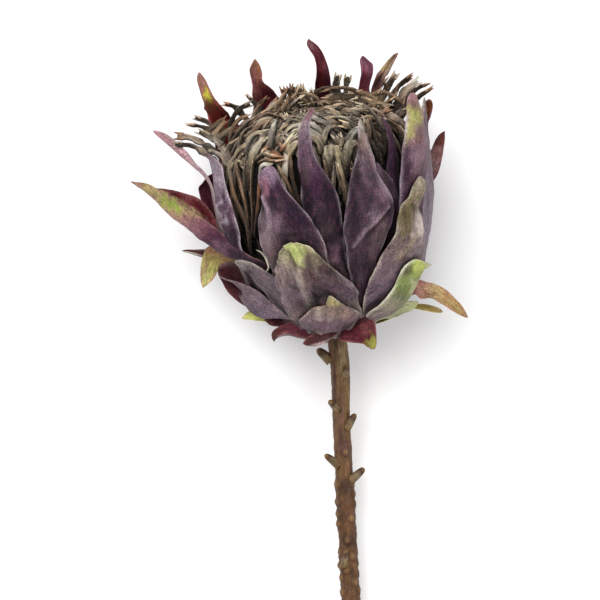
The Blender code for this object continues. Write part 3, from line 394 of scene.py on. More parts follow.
# bracts that stand off the cup: left x y w, right x y w, bulge
FREE_BRACTS = {
    "right_edge": [
        (33, 32, 37, 41, 32, 16, 1.5), (38.5, 50, 36, 45, 50, 16, 2), (40.5, 66, 38, 47.2, 66, 19, 2.5),
        (41, 80, 40, 47.6, 79, 23, 2.5), (41.5, 92, 39, 46.2, 91, 25, 2), (42, 102, 37, 44.5, 102, 27, 1.5),
        (42.2, 111, 36, 43.7, 110, 28, 1.2), (42.6, 118, 34, 44, 118, 28, 0.8),
        (43.1, 122.3, 32, 44, 122.3, 29, 0.4)],
    "right_far": [
        (37, 42, 8, 42, 40, 22, 2), (40, 60, 8, 44.5, 59, 24, 2.6), (42.5, 76, 10, 45.5, 75, 25, 3),
        (44, 85, 12, 50.4, 84, 25, 2.8), (45.8, 92, 13, 52.4, 91, 24, 2.6),
        (48.4, 98.6, 15, 53.4, 97.4, 22, 1.8), (51.4, 103.4, 16, 54, 102.4, 20, 1),
        (53.5, 105.4, 17, 54.2, 105.2, 19, 0.2)],
    "splayed_right": [
        (30, 18, 22, 31, 29, 17, 1.5), (38.7, 24.3, 19, 41, 31, 14, 1.5), (42, 22, 19, 44.5, 30.1, 14, 1.5),
        (47, 22.1, 19, 49, 28.9, 14, 1.4), (51.5, 19.5, 19, 54, 26.5, 15, 1.2),
        (57, 16, 18, 59, 21.8, 15, 1), (61.5, 13.7, 17, 62.8, 17.6, 15, 0.6),
        (65, 12, 16.5, 65.6, 12.7, 15.5, 0.1)],
    "thin_right": [
        (27, 12, 8, 28, 18, 2, 1.2), (37, 16.8, 7, 38, 18.9, 1, 1), (44, 15.9, 7, 44.2, 18.8, 2, 0.9),
        (49, 15.1, 7, 49.2, 17.6, 3, 0.7), (52.4, 14.6, 6, 53, 15.9, 4, 0.3)],
    "long_low_left": [
        (-14, 8, 33, -14, 6.5, 38, 1.5), (-24, 18, 32, -22, 11.5, 42, 3),
        (-32, 26.5, 29, -31, 18.2, 43, 12.5), (-41.5, 34.5, 25, -38.5, 24.6, 42, 12.6),
        (-50, 39.5, 22, -45.5, 28.6, 39, 11), (-56.5, 39.5, 20, -51.5, 30.2, 34, 8),
        (-60, 36, 20, -56.3, 31.4, 28, 2.6), (-59.6, 33.6, 22, -58.6, 32.3, 25, 0.3)],
    "left_splayed": [
        (-37.5, 35, 44, -35, 38.5, 48, 1.5), (-46, 40.5, 43, -43.5, 43.2, 50, 2),
        (-54, 47, 32, -52, 49.6, 46, 6.5), (-61.5, 63, 20, -60, 57.2, 39, 11.5),
        (-68.4, 71.3, 14, -69, 63.4, 34, 12.4), (-78.4, 75, 12, -78.5, 69.4, 30, 10.6),
        (-87, 76.7, 12, -87, 75.6, 26, 6.4), (-95, 78.4, 13, -95, 79.2, 22, 3.4),
        (-102.6, 80.4, 15, -103.3, 79.8, 18, 0.3)],
    "left_thin": [
        (-47, 36, 22, -45.5, 36, 38, 1.5), (-57, 54, 24, -56, 54, 36, 1),
        (-60.6, 68, 25, -59.9, 67.6, 34, 0.8), (-63, 78, 25, -62.1, 77.7, 32, 0.6),
        (-66.7, 83.6, 25, -65.8, 84.2, 30, 0.5), (-71.6, 87.4, 25, -70.8, 89.4, 28, 0.6),
        (-77.2, 92, 25, -74.6, 94.6, 27, 0.8), (-82.2, 96.6, 25, -80, 99.8, 26, 0.8),
        (-87.6, 101.2, 24, -85.4, 103.9, 25, 0.6), (-92.4, 105.1, 23, -91.2, 106.3, 24, 0.2)],
    "left_back_fold": [
        (-42, 40, -2, -50, 40, 12, 1.5), (-48, 54, -2, -58, 54, 12, 2), (-51, 66, 2, -65.2, 67, 14, 2.6),
        (-53, 75, 5, -69.2, 76.5, 17, 2.8), (-55, 81, 8, -66.5, 80.8, 19, 2),
        (-59, 85, 11, -62.6, 84.9, 20, 0.5)],
    "hanging_left": [
        (-46, 44, 22, -46, 34, 18, 1), (-56, 48, 22, -53.5, 38, 18, 1.2),
        (-64.5, 47.5, 22, -58, 38.5, 19, 1.4), (-67.4, 41.5, 21, -60, 35.2, 20, 1.4),
        (-68.3, 35, 20, -62.6, 31.2, 20, 1.2), (-68.1, 30, 19, -65, 28.7, 19, 0.8),
        (-67.5, 27.4, 19, -66.5, 27.1, 19, 0.1)],
    "small_left": [
        (-50, 42, -2, -50, 37, 10, 2.5), (-60, 46.5, 0, -61, 41.8, 11, 3),
        (-67, 46.4, 4, -67.6, 43.5, 11, 2.2), (-73, 46.2, 7, -73, 45.1, 11, 1.1),
        (-77.4, 46, 9, -77.5, 45.3, 10.2, 0.2)],
    "wine_low_left": [
        (-30, 11, 28, -32, 20, 14, 2), (-40, 16.4, 26, -42, 28, 12, 2.2),
        (-47.5, 18.8, 24, -49, 33, 14, 2.6), (-53.5, 24, 22, -54, 35, 16, 2),
        (-58, 31, 20, -58, 35, 18, 0.8), (-59.7, 34.1, 19, -59.4, 35, 18.5, 0.2)],
    "lime_low_left": [
        (-24, 7, 20, -24, 14, 10, 1.2), (-33, 9.6, 18, -34, 17, 8, 1.5), (-40, 10.7, 17, -41, 16.6, 9, 1.3),
        (-44.5, 11.2, 15, -44.6, 14.6, 11, 0.8), (-47.6, 11.6, 13, -47.3, 12.4, 12, 0.1)],
    "wine_foot_left": [
        (-20, 5, 24, -20, 11, 18, 1), (-28, 7.4, 22, -28, 13, 16, 1.2),
        (-33, 8.2, 20, -33.5, 12.5, 16, 0.9), (-36.2, 10.7, 18, -36, 12.1, 17, 0.2)],
    "curl_foot_left": [
        (-6, 0, 30, -5, 7, 36, 0.5), (-13.4, 0.9, 32, -13, 9, 37, 0.8),
        (-18.9, 1.6, 32, -18.6, 10.4, 38, 1), (-24, 2.8, 32, -23.4, 9.8, 38, 1),
        (-28.4, 2.6, 30, -27.4, 8.4, 37, 1), (-31.2, 1, 28, -31.8, 5.8, 34, 0.8),
        (-31.4, -0.2, 27, -33, 2.8, 31, 0.3)],
    "foot_front": [
        (3, 6.2, 38, 3, 8.4, 37, 0.3), (-1, 3.4, 39, -1, 8, 38, 0.6), (-6, -0.2, 39, -5, 7, 39, 0.9),
        (-11, -1.8, 39, -11, 4.4, 41, 0.9), (-15, -1.8, 38, -15.4, 1.6, 40, 0.6),
        (-16.8, -1.2, 38, -17, -0.2, 40, 0.2)],
    "foot_right": [
        (2, 0.4, 40, 2, 8, 37, 0.4), (6.5, -0.2, 41, 7, 11.4, 40, 0.8), (10.5, -0.6, 40, 13, 15.4, 46, 1.4),
        (13.6, -1.2, 39, 18, 11.6, 43, 1.6), (15, -2.4, 38, 19.5, 6, 41, 1.2),
        (16.8, -3.4, 36, 19.8, 0, 38, 0.6), (18, -4, 35, 19.6, -2.8, 36, 0.2)],
}

# the two outer bracts that the bloom rests on: azimuth and the radius of the belly
RESTING_BRACTS = [(63, 78.3), (115, 74.4)]


def hidden_bracts():
    """The bracts of the side that the bloom lies on. Two of the outer ones splay down to it."""
    rows = {}
    for azimuth in (40, 90, 140):
        rows[f"under_middle_{azimuth}"] = [
            (azimuth, 40, 26, 11, 1.5), (azimuth, 50, 46, 14, 2), (azimuth, 56.5, 62, 13, 2.2),
            (azimuth, 60, 76, 10, 1.8), (azimuth, 61.5, 87, 6, 1), (azimuth, 61, 95, 1.6, 0.2)]
    for azimuth, belly in RESTING_BRACTS:
        rows[f"under_splayed_{azimuth}"] = [
            (azimuth, 40, 26, 10, 1.5), (azimuth, 50, 44, 12, 2.2), (azimuth, belly - 15.5, 59, 12.5, 3.2),
            (azimuth, belly - 6.5, 70, 10.5, 3.6), (azimuth, belly, 81, 7.5, 3),
            (azimuth, belly + 1.5, 91, 4.5, 1.6), (azimuth, belly - 0.5, 99, 1.4, 0.3)]
    for azimuth in (52, 78, 102, 128):
        rows[f"under_low_{azimuth}"] = [
            (azimuth, 32, 14, 9, 1.2), (azimuth, 43, 27, 11.5, 2), (azimuth, 50, 40, 10.5, 2),
            (azimuth, 54, 51, 6.5, 1.2), (azimuth, 55.5, 58, 1.5, 0.2)]
    for azimuth in (22, 56, 90, 124, 158):
        rows[f"under_foot_{azimuth}"] = [
            (azimuth, 14, 4, 6.5, 0.8), (azimuth, 23, 9, 8, 1.2), (azimuth, 31, 11, 6, 1),
            (azimuth, 36, 9, 1.5, 0.2)]
    return {name: ribbed(row) for name, row in rows.items()}


def all_bracts():
    bracts = {name: hug(rows) for name, rows in NEAR_BRACTS.items()}
    bracts.update({name: hug(rows, far=True) for name, rows in FAR_BRACTS.items()})
    bracts.update({name: free(rows) for name, rows in FREE_BRACTS.items()})
    bracts.update(hidden_bracts())
    return {name: rooted(rows) for name, rows in bracts.items()}


# the pale lip where the splayed bract meets the bloom: x y w along it
PALE_LIP = [(-40.4, 46, 50), (-38, 44.9, 54), (-36, 42.6, 58), (-34.8, 39.6, 61), (-34.2, 37, 62),
            (-35.4, 35.2, 61)]
LIP_HALF = 0.55
LIP_RINGS = 16

# colours of the bracts
AUBERGINE = (46, 28, 46)
PLUM = (66, 43, 61)
DEEP = (28, 17, 28)
MAUVE = (104, 82, 98)
LILAC = (146, 124, 142)
ASH = (116, 103, 110)
BROWN_GREY = (110, 94, 92)
BONE = (180, 172, 156)
RIM = (172, 158, 166)
WINE = (84, 26, 38)
CRIMSON = (106, 34, 48)
MAROON = (62, 24, 32)
RUST = (128, 72, 56)
ORANGE = (152, 104, 64)
PINK = (166, 118, 122)
GREEN = (138, 152, 80)
PALE_GREEN = (172, 180, 126)
OLIVE = (126, 116, 62)
TAN = (152, 136, 108)
SHADE = (20, 11, 17)
STAIN = (84, 40, 56)

# edges of bracts in the front view, beside which the bracts behind them lie in shade
EDGE_LOW_LEFT = [(-30, 40), (-29, 44), (-25.4, 50.5), (-15, 49.5), (5, 31.5), (12, 16)]
EDGE_FRONT_LEFT = [(-25, 80), (-17, 71), (-10.5, 60), (-6.4, 50), (-6.5, 41)]
EDGE_FRONT_RIGHT = [(6, 36), (4, 50), (3.2, 59), (4.4, 72), (9.4, 91)]
EDGE_LOW_RIGHT = [(13.5, 19), (21, 39.6), (29.3, 51.2), (30, 59.5), (33.4, 67.8), (38.4, 77)]
EDGE_GREEN = [(12.7, 15.2), (25.2, 24), (32.6, 34.6), (39, 41.3)]
EDGE_LOWEST = [(-19, 10.6), (-13, 17.2), (-7.2, 18.1), (-3, 24), (4.4, 19), (12, 14)]

# patches that are blurred over more than this, in millimetres, have ragged outlines
SHARP = 1.0

# how each bract is coloured, with places in the front view. outer and inner: share of the way
# from root to tip, colour; darker stops near the roots are partly painted shade where bracts overlap.
# spots: x, y, half width, half height, turn, colour, strength; many dark spots are painted shade
# and some pale ones painted highlights. patches: outline, colour, strength, blur.
# folds: line, width, height, colour, strength; the colour is mostly painted light on a raised crease
# and painted shade in a sunken one, and a line of height 0 is a painted shadow beside an edge.
# rim: colour, width, strength. crumple: share of the wrinkles and creases.
PLAIN = dict(outer=[(0, PLUM), (0.5, MAUVE), (1, LILAC)], inner=[(0, WINE), (1, WINE)], spots=[], patches=[],
             folds_and_shade=[], rim=(RIM, 0.7, 0.7), crumple=0.2)

LOOKS = {
    "front_left": dict(
        outer=[(0, BROWN_GREY), (0.55, (106, 88, 89)), (0.64, (84, 66, 73)), (0.72, (47, 29, 44)),
               (0.84, (39, 23, 38)), (0.92, (76, 52, 71)), (1, (137, 119, 131))],
        spots=[(-10.5, 49, 3, 5, 0, (34, 22, 30), 0.8), (-31, 58, 3.6, 6, 0, (140, 118, 128), 0.6),
               (-16, 63, 2.6, 5, 0, (34, 22, 34), 0.7), (-24, 70, 6, 12, 25, AUBERGINE, 0.8),
               (-14, 58, 7, 12, 30, AUBERGINE, 0.8), (-20, 50, 8, 3, 0, DEEP, 0.6),
               (-36, 54, 3.6, 11, 0, (124, 108, 112), 0.8), (-34, 84, 4, 5, 0, LILAC, 0.6),
               (-35.5, 77, 2, 6, 0, (150, 106, 120), 0.7)],
        folds_and_shade=[([(-37, 73), (-34, 65.5), (-33.4, 57)], 0.8, 0.9, (160, 142, 152), 0.7),
               ([(-26, 53), (-18, 53.5), (-10, 50)], 1.2, -0.8, DEEP, 0.5),
               (EDGE_LOW_LEFT, 2, 0, SHADE, 0.75)],
        rim=(RIM, 0.7, 0.6)),
    "front_centre": dict(
        outer=[(0, (48, 34, 43)), (0.4, (46, 32, 43)), (0.5, (34, 20, 32)), (0.6, (37, 22, 36)),
               (0.68, (52, 33, 48)), (0.75, (69, 48, 64)), (0.82, (100, 78, 91)), (0.92, (131, 116, 121)),
               (1, (123, 87, 87))],
        spots=[(-1, 46, 3.6, 6, 0, (116, 88, 102), 0.75), (-16.4, 83, 3, 8, 5, (34, 20, 28), 0.9),
               (-15.6, 63, 2.8, 7, 0, (28, 16, 28), 0.85), (-7, 49, 3, 5, 0, (32, 20, 30), 0.7),
               (-6, 66, 8, 9, 0, AUBERGINE, 0.5), (-3, 55, 6, 7, 0, DEEP, 0.6),
               (-10, 80, 3, 9, 12, (76, 44, 70), 0.5), (-4.5, 78, 2.6, 10, 0, DEEP, 0.7),
               (-13.5, 112, 2, 1.5, 0, (120, 76, 82), 0.7)],
        folds_and_shade=[(EDGE_LOW_LEFT, 2, 0, SHADE, 0.6), (EDGE_FRONT_LEFT, 2.4, 0, SHADE, 0.85),
               (EDGE_FRONT_RIGHT, 2.4, 0, SHADE, 0.85)],
        rim=(RIM, 0.8, 0.55)),
    "front_right": dict(
        outer=[(0, AUBERGINE), (0.4, (55, 40, 49)), (0.5, (66, 50, 61)), (0.6, (59, 43, 55)),
               (0.7, (68, 52, 64)), (0.8, (86, 69, 78)), (0.9, (124, 108, 95)), (1, (139, 135, 128))],
        spots=[(24.5, 49, 3, 6, 0, (32, 20, 28), 0.8), (9.4, 87, 3.6, 13, -3, (30, 18, 24), 0.95),
               (19, 63.5, 3, 5, 0, (132, 112, 124), 0.6), (6.5, 66, 4, 16, 0, (34, 21, 33), 0.85),
               (23, 74, 4, 6, 0, (116, 92, 105), 0.8), (22, 52, 5, 7, 0, BROWN_GREY, 0.5),
               (11, 109, 2, 3, 0, BONE, 0.8), (13, 92, 3, 6, 0, ASH, 0.4)],
        folds_and_shade=[([(25.5, 68), (24, 66), (20, 61.5), (14, 56), (8, 48)], 0.9, 1.1, (140, 120, 128), 0.5),
               ([(13.5, 103), (17.7, 91), (21, 81), (27.6, 71)], 1.1, 0.8, (150, 136, 142), 0.6),
               (EDGE_LOW_LEFT, 1.8, 0, SHADE, 0.6), (EDGE_LOW_RIGHT, 2, 0, SHADE, 0.75),
               ([(26, 66), (21, 59), (15, 53)], 1, -0.9, (60, 40, 44), 0.6)],
        rim=(RIM, 0.8, 0.55)),
    "front_right_inner": dict(
        outer=[(0, DEEP), (0.6, AUBERGINE), (1, MAUVE)], spots=[(24, 84, 4, 11, 0, (44, 30, 34), 0.85)]),
    "front_right_deep": dict(
        outer=[(0, DEEP), (0.6, (30, 16, 28)), (0.85, (48, 26, 46)), (1, (66, 46, 58))],
        rim=(MAUVE, 0.6, 0.3)),
    "right_tall": dict(
        outer=[(0, PLUM), (0.5, (74, 53, 66)), (0.6, (89, 68, 76)), (0.68, (122, 98, 109)),
               (0.76, (129, 104, 110)), (0.85, (142, 114, 106)), (0.93, (147, 114, 116)),
               (1, (160, 120, 122))],
        spots=[(38, 103, 4, 3.5, 0, (146, 116, 100), 0.6), (33.5, 88, 2.4, 12, 0, (46, 26, 42), 0.9),
               (38, 121.5, 3, 2, 0, PINK, 0.5), (36, 78, 5, 5, 0, PLUM, 0.6),
               (32.6, 79, 2.4, 8, 0, (58, 30, 56), 0.8)],
        patches=[([(34, 117), (40.7, 116.5), (42, 111.4), (38.6, 107.5), (37, 103.5), (34, 100)],
                   (168, 168, 100), 0.9, 4)],
        folds_and_shade=[(EDGE_LOW_RIGHT, 2.2, 0, SHADE, 0.75)], rim=(RIM, 1, 0.8)),
    "right_edge": dict(
        outer=[(0, (110, 98, 106)), (0.4, (134, 123, 131)), (0.7, (128, 114, 121)), (1, (120, 104, 110))],
        rim=(BONE, 1.2, 0.7)),
    "right_far": dict(
        outer=[(0, PLUM), (0.5, (90, 58, 66)), (0.8, (98, 58, 60)), (0.95, (100, 56, 46)),
               (1, (88, 50, 42))],
        inner=[(0, MAROON), (0.6, WINE), (0.85, RUST), (1, RUST)],
        spots=[(47.6, 90, 4.5, 8, 0, (168, 136, 134), 0.85)], rim=((112, 76, 74), 0.5, 0.5)),
    "left_inner": dict(
        outer=[(0, DEEP), (0.4, (34, 19, 30)), (0.5, (46, 28, 42)), (0.6, (76, 56, 72)),
               (0.7, (104, 88, 100)), (0.82, (134, 122, 130)), (0.92, (116, 100, 104)), (1, (100, 80, 78))],
        spots=[(-56.5, 59, 1.1, 6, -8, (180, 166, 174), 0.6), (-58.6, 68, 1, 7, -5, (184, 170, 178), 0.6),
               (-49, 58, 3, 9, -8, (40, 22, 36), 0.9), (-52, 63, 2.4, 5, -8, (78, 56, 70), 0.8),
               (-55, 74, 1.4, 3.4, -15, (62, 46, 50), 0.85), (-58, 80, 1.4, 3, -20, (150, 140, 148), 0.7)],
        rim=(RIM, 0.9, 0.9)),
    "low_left": dict(
        outer=[(0, ASH), (0.4, (119, 107, 100)), (0.6, (109, 93, 100)), (0.8, (119, 105, 104)),
               (0.9, (139, 130, 104)), (1, (160, 154, 119))],
        spots=[(-5.5, 37, 5.5, 8, 20, (54, 38, 40), 0.9), (-16, 18, 4.5, 4, 20, (58, 42, 48), 0.8),
               (-11, 44, 3, 3, 0, (96, 80, 74), 0.6), (-28, 35, 2.4, 5, 0, (158, 140, 134), 0.6),
               (-16.5, 38, 2.2, 3, 0, (158, 146, 132), 0.6), (-27.4, 45.4, 2, 4, 0, (94, 84, 68), 0.9),
               (-14, 32.5, 4.5, 6, 25, (80, 62, 62), 0.8), (-25, 30, 5, 6, 0, BROWN_GREY, 0.6),
               (2, 26, 9, 5, 0, (78, 62, 72), 0.8), (-27, 23, 4, 5, 0, (126, 110, 118), 0.7),
               (-10.5, 22, 6, 4.2, 15, (26, 15, 20), 0.95)],
        patches=[([(-26.7, 49.6), (-23, 51), (-17.5, 48.6), (-15.6, 44), (-17.5, 39.4), (-16.8, 36),
                   (-19.3, 38.5), (-23.9, 43.1), (-26.2, 46.8)], (170, 177, 112), 0.9, 3)],
        folds_and_shade=[([(-26, 44), (-22, 36), (-16, 26), (-12, 16)], 1.4, 0.7, BONE, 0.25),
               ([(-14.5, 43), (-13.5, 36), (-11, 29)], 1.6, -0.7, (78, 60, 64), 0.5),
               ([(-27, 47), (-20, 38), (-15, 35)], 0.9, -0.8, (96, 80, 78), 0.6),
               ([(-18, 41), (-19.5, 37.5), (-18.5, 33), (-16.8, 27)], 0.7, 0.8, (176, 166, 148), 0.6),
               ([(-14, 27), (-6, 27), (4, 24)], 2.6, -0.5, (74, 60, 70), 0.5),
               (EDGE_LOWEST, 1.8, 0, SHADE, 0.65)],
        rim=(BONE, 0.6, 0.45), crumple=0.9),
    "lowest_front": dict(
        outer=[(0, (94, 77, 86)), (0.6, (104, 85, 94)), (0.75, (119, 102, 100)), (0.9, (129, 113, 100)),
               (1, (146, 135, 106))],
        spots=[(13, 13, 2.6, 2.6, 0, (52, 34, 40), 0.7), (-3, 21, 3.5, 3, 0, (164, 156, 104), 0.8),
               (2, 14, 5, 3, 0, (148, 126, 114), 0.7), (-15.5, 11, 3, 2.4, 0, (100, 84, 96), 0.8),
               (-7, 7, 6, 2.5, 0, (104, 84, 94), 0.6), (-8, 12.6, 4.5, 2.4, 0, (168, 150, 146), 0.7),
               (-8.4, 16, 2.4, 1.4, 25, (170, 158, 144), 0.5), (8, 12, 3, 2, 0, (134, 110, 114), 0.6)],
        folds_and_shade=[([(12.5, 13.6), (8, 9.6), (3, 6.6)], 1.6, 0, (40, 26, 32), 0.8)], rim=(BONE, 0.7, 0.5),
        crumple=0.5),
    "low_right": dict(
        outer=[(0, ASH), (0.35, (110, 95, 104)), (0.5, (118, 100, 106)), (0.62, (116, 101, 98)),
               (0.72, (110, 95, 93)), (0.82, (108, 96, 84)), (0.93, (132, 121, 98)), (1, (152, 142, 130))],
        spots=[(40.5, 58.5, 3.4, 9, 0, (206, 194, 188), 0.9), (39.5, 44, 3.6, 5, 0, (160, 144, 150), 0.7),
               (19, 33, 4, 6, 0, (78, 60, 70), 0.6), (40, 79, 3.2, 5, 0, (152, 144, 124), 0.8),
               (36, 63, 4, 8, 0, (110, 101, 68), 0.6), (24, 32, 8, 9, 0, (116, 98, 106), 0.6),
               (34, 45, 4, 5, 0, BROWN_GREY, 0.5)],
        patches=[([(31.5, 72), (35, 82), (39, 82), (37.5, 72), (36.4, 64), (36, 55), (32, 52), (29.5, 58)],
                   (104, 97, 64), 0.8, 3)],
        folds_and_shade=[([(30, 42), (37, 50), (40, 54)], 1.1, 0.8, TAN, 0.5),
               ([(33, 70), (34, 60), (36, 52)], 0.8, -0.6, (84, 64, 54), 0.6),
               ([(38, 70), (38, 60), (39, 54)], 0.8, -0.5, (90, 72, 58), 0.5),
               (EDGE_GREEN, 2.6, 0, (26, 13, 20), 0.95)],
        rim=(BONE, 0.8, 0.6), crumple=0.4),
    "green_right": dict(
        outer=[(0, (66, 50, 56)), (0.3, (108, 96, 96)), (0.4, (124, 112, 108)), (0.5, (134, 126, 108)),
               (0.65, (118, 130, 80)), (0.8, (138, 150, 88)), (0.92, (168, 176, 100)),
               (1, (192, 186, 160))],
        spots=[(11.8, 13, 4, 3, 20, (42, 24, 30), 0.95), (33.6, 37.6, 4, 6, -30, (72, 62, 56), 0.85),
               (39, 28, 2.6, 4, 0, (192, 188, 158), 0.6), (41, 38, 3, 3, 0, (178, 188, 104), 0.7),
               (28, 22, 4, 3, 20, (130, 128, 112), 0.5)],
        rim=((206, 204, 182), 0.9, 0.9)),
    "pale_right": dict(outer=[(0, ASH), (0.5, (156, 152, 132)), (1, PALE_GREEN)], rim=(BONE, 0.8, 0.7)),
    "mid_low_left": dict(
        outer=[(0, MAUVE), (0.5, (104, 92, 98)), (0.85, (98, 87, 92)), (1, (140, 131, 126))],
        inner=[(0, MAROON), (1, WINE)], spots=[(-46, 33.5, 3, 3.4, 0, (34, 22, 24), 0.8)],
        folds_and_shade=[([(-34, 23), (-27, 16), (-20, 10)], 2, 0, (32, 20, 26), 0.9)], rim=(BONE, 0.7, 0.5)),
    "back_left_far": dict(
        inner=[(0, (160, 52, 58)), (0.5, (176, 70, 72)), (0.7, (152, 82, 68)), (0.85, (134, 90, 58)),
               (0.95, (146, 104, 94)), (1, (150, 116, 106))],
        spots=[(-60, 113, 4.5, 7, 0, (216, 96, 92), 0.9),
               (-64.5, 123.5, 1.8, 4.6, 25, (186, 178, 62), 0.95), (-62.5, 116.5, 2.2, 3, 25, OLIVE, 0.6)],
        rim=((150, 104, 92), 0.7, 0.7)),
    "back_left": dict(
        inner=[(0, CRIMSON), (0.3, (158, 44, 66)), (0.6, (152, 56, 70)), (0.8, (130, 54, 64)),
               (0.92, (122, 74, 62)), (1, (148, 108, 86))],
        spots=[(-41.5, 123, 2.6, 7, 0, (196, 130, 124), 0.7), (-38.5, 135.5, 2, 3, 0, ORANGE, 0.7),
               (-42, 130, 1, 8, 0, (150, 100, 104), 0.7)],
        rim=((140, 96, 96), 0.7, 0.6)),
    "back_centre": dict(
        inner=[(0, MAROON), (0.6, (84, 26, 38)), (0.8, (78, 22, 34)), (0.92, (84, 30, 40)),
               (1, (106, 66, 72))],
        spots=[(-8, 132, 1.4, 7, -6, (124, 56, 46), 0.4), (-13, 148.5, 2, 2, 0, (134, 104, 106), 0.6)],
        rim=((112, 56, 68), 0.6, 0.5)),
    "back_right": dict(
        inner=[(0, MAROON), (0.6, (118, 44, 62)), (0.85, (116, 46, 70)), (1, (112, 72, 86))],
        spots=[(13.6, 128, 3, 6, 0, (176, 96, 108), 0.8), (12.2, 137, 1.4, 4, 0, (130, 90, 108), 0.5)],
        rim=((130, 82, 96), 0.6, 0.6)),
    "back_right_far": dict(
        outer=[(0, PLUM), (0.6, (150, 112, 116)), (1, TAN)],
        inner=[(0, PLUM), (0.6, (130, 96, 100)), (0.8, (152, 120, 114)), (0.92, (174, 154, 134)), (1, TAN)],
        spots=[(23, 137.5, 1.4, 5, -40, (178, 172, 98), 0.8)],
        folds_and_shade=[([(19, 128), (24, 136), (29, 143)], 0.6, 0.5, (98, 44, 52), 0.7)], rim=(PINK, 0.6, 0.6)),
    "right_back_tip": dict(
        outer=[(0, PLUM), (1, MAUVE)],
        inner=[(0, MAROON), (0.75, (144, 74, 42)), (0.93, (172, 106, 54)), (1, (150, 100, 92))],
        rim=((104, 56, 52), 0.7, 0.6)),
    "splayed_right": dict(
        outer=[(0, MAUVE), (1, OLIVE)],
        inner=[(0, CRIMSON), (0.3, (190, 130, 134)), (0.42, (204, 154, 142)), (0.55, (208, 182, 136)),
               (0.7, (184, 158, 108)), (0.85, (158, 134, 84)), (1, (150, 120, 92))],
        spots=[(54, 22.5, 3, 1.4, -35, (150, 84, 70), 0.5), (46, 23.6, 4, 0.9, -8, (140, 70, 72), 0.5)],
        folds_and_shade=[([(41, 27), (50, 25), (62, 15)], 0.5, 0.3, (196, 176, 130), 0.5)],
        rim=((176, 124, 112), 0.7, 0.7)),
    "thin_right": dict(
        outer=[(0, ASH), (0.5, (200, 190, 96)), (0.8, (204, 174, 96)), (1, (196, 170, 116))],
        inner=[(0, OLIVE), (0.5, (200, 190, 96)), (1, (196, 170, 116))], rim=(TAN, 0.6, 0.5)),
    "long_low_left": dict(
        outer=[(0, MAUVE), (0.5, (106, 93, 102)), (1, (106, 90, 96))],
        inner=[(0, (22, 9, 13)), (0.6, (36, 16, 20)), (0.85, (70, 34, 37)), (1, (88, 46, 48))],
        rim=((150, 128, 128), 0.7, 0.7)),
    "left_splayed": dict(
        outer=[(0, DEEP), (0.36, (60, 44, 54)), (0.44, (64, 40, 56)), (0.54, (74, 42, 60)),
               (0.62, (112, 70, 84)), (0.7, (140, 100, 104)), (0.78, (166, 128, 116)),
               (0.88, (170, 138, 120)), (0.95, (164, 130, 108)), (1, (168, 140, 124))],
        inner=[(0, MAROON), (0.6, WINE), (0.85, (112, 66, 68)), (1, RUST)],
        spots=[(-59, 46, 6, 2.6, -40, (140, 112, 118), 0.3)],
        patches=[([(-97.7, 79.4), (-92.2, 78.4), (-86.7, 76), (-81.1, 72.6), (-75.6, 69), (-69.2, 64.6),
                   (-66.4, 62.2), (-71, 63.1), (-76.5, 65), (-79.3, 62.7), (-82.5, 65), (-87.6, 67.7),
                   (-88.5, 70.5), (-92.2, 73.2), (-95.9, 76)], (160, 148, 98), 0.85, 3),
                 ([(-88, 73.5), (-83, 72), (-76, 67.5), (-79, 65), (-84, 67.5), (-87, 70)],
                   (150, 164, 78), 0.9, 3),
                 ([(-90.5, 77.8), (-90, 96), (-44, 96), (-44, 58), (-56.3, 54), (-63.7, 60.6), (-68, 64.6),
                   (-72, 66.8), (-76, 69.8), (-81.3, 72.8), (-86, 75.6)], (92, 14, 28), 0.97, 0.5)],
        folds_and_shade=[([(-90.5, 77.4), (-86, 75.2), (-81.3, 72.4), (-72, 66.4), (-63.7, 60.2), (-56.3, 53.6),
                 (-49, 47.6)], 0.5, 0.8, (150, 116, 112), 0.35)],
        rim=((150, 112, 108), 0.5, 0.5)),
    "left_thin": dict(
        outer=[(0, ASH), (0.45, (150, 140, 136)), (0.6, (168, 148, 150)), (0.85, (172, 138, 142)),
               (1, (164, 126, 130))],
        inner=[(0, ASH), (0.5, (150, 140, 136)), (1, (160, 124, 128))], rim=((176, 160, 156), 0.6, 0.5)),
    "left_back_fold": dict(
        inner=[(0, MAROON), (0.6, (104, 48, 62)), (1, (112, 56, 68))], rim=((110, 62, 76), 0.6, 0.5)),
    "hanging_left": dict(
        outer=[(0, (170, 120, 108)), (0.5, (196, 154, 124)), (0.66, (200, 172, 124)),
               (0.8, (174, 166, 104)), (1, (198, 192, 144))],
        inner=[(0, CRIMSON), (0.5, (176, 130, 110)), (0.66, (188, 158, 112)), (0.8, (166, 154, 100)),
               (1, (176, 170, 124))],
        spots=[(-63.5, 46, 4, 1.6, 0, (166, 104, 96), 0.6), (-66, 38, 1.4, 4, 0, (160, 120, 100), 0.5)],
        patches=[([(-64, 40), (-60, 40), (-61.5, 33), (-66.5, 28), (-67.5, 31), (-65, 35)],
                   (162, 164, 92), 0.7, 4)],
        rim=((176, 124, 110), 0.6, 0.7)),
    "small_left": dict(
        outer=[(0, ASH), (0.6, (150, 126, 124)), (0.8, (140, 116, 116)), (1, (196, 186, 182))],
        inner=[(0, WINE), (1, WINE)], rim=(BONE, 0.7, 0.6)),
    "wine_low_left": dict(
        outer=[(0, (78, 40, 44)), (0.5, (84, 38, 42)), (1, (70, 34, 36))],
        inner=[(0, MAROON), (0.7, WINE), (1, CRIMSON)], rim=((130, 84, 88), 0.6, 0.5)),
    "lime_low_left": dict(
        outer=[(0, GREEN), (0.5, (204, 212, 104)), (1, (206, 206, 130))],
        inner=[(0, GREEN), (1, (200, 212, 96))], rim=(PINK, 0.8, 0.6)),
    "wine_foot_left": dict(
        outer=[(0, (64, 20, 28)), (0.6, (96, 50, 52)), (1, (110, 64, 62))], rim=((140, 90, 92), 0.5, 0.5)),
    "curl_foot_left": dict(
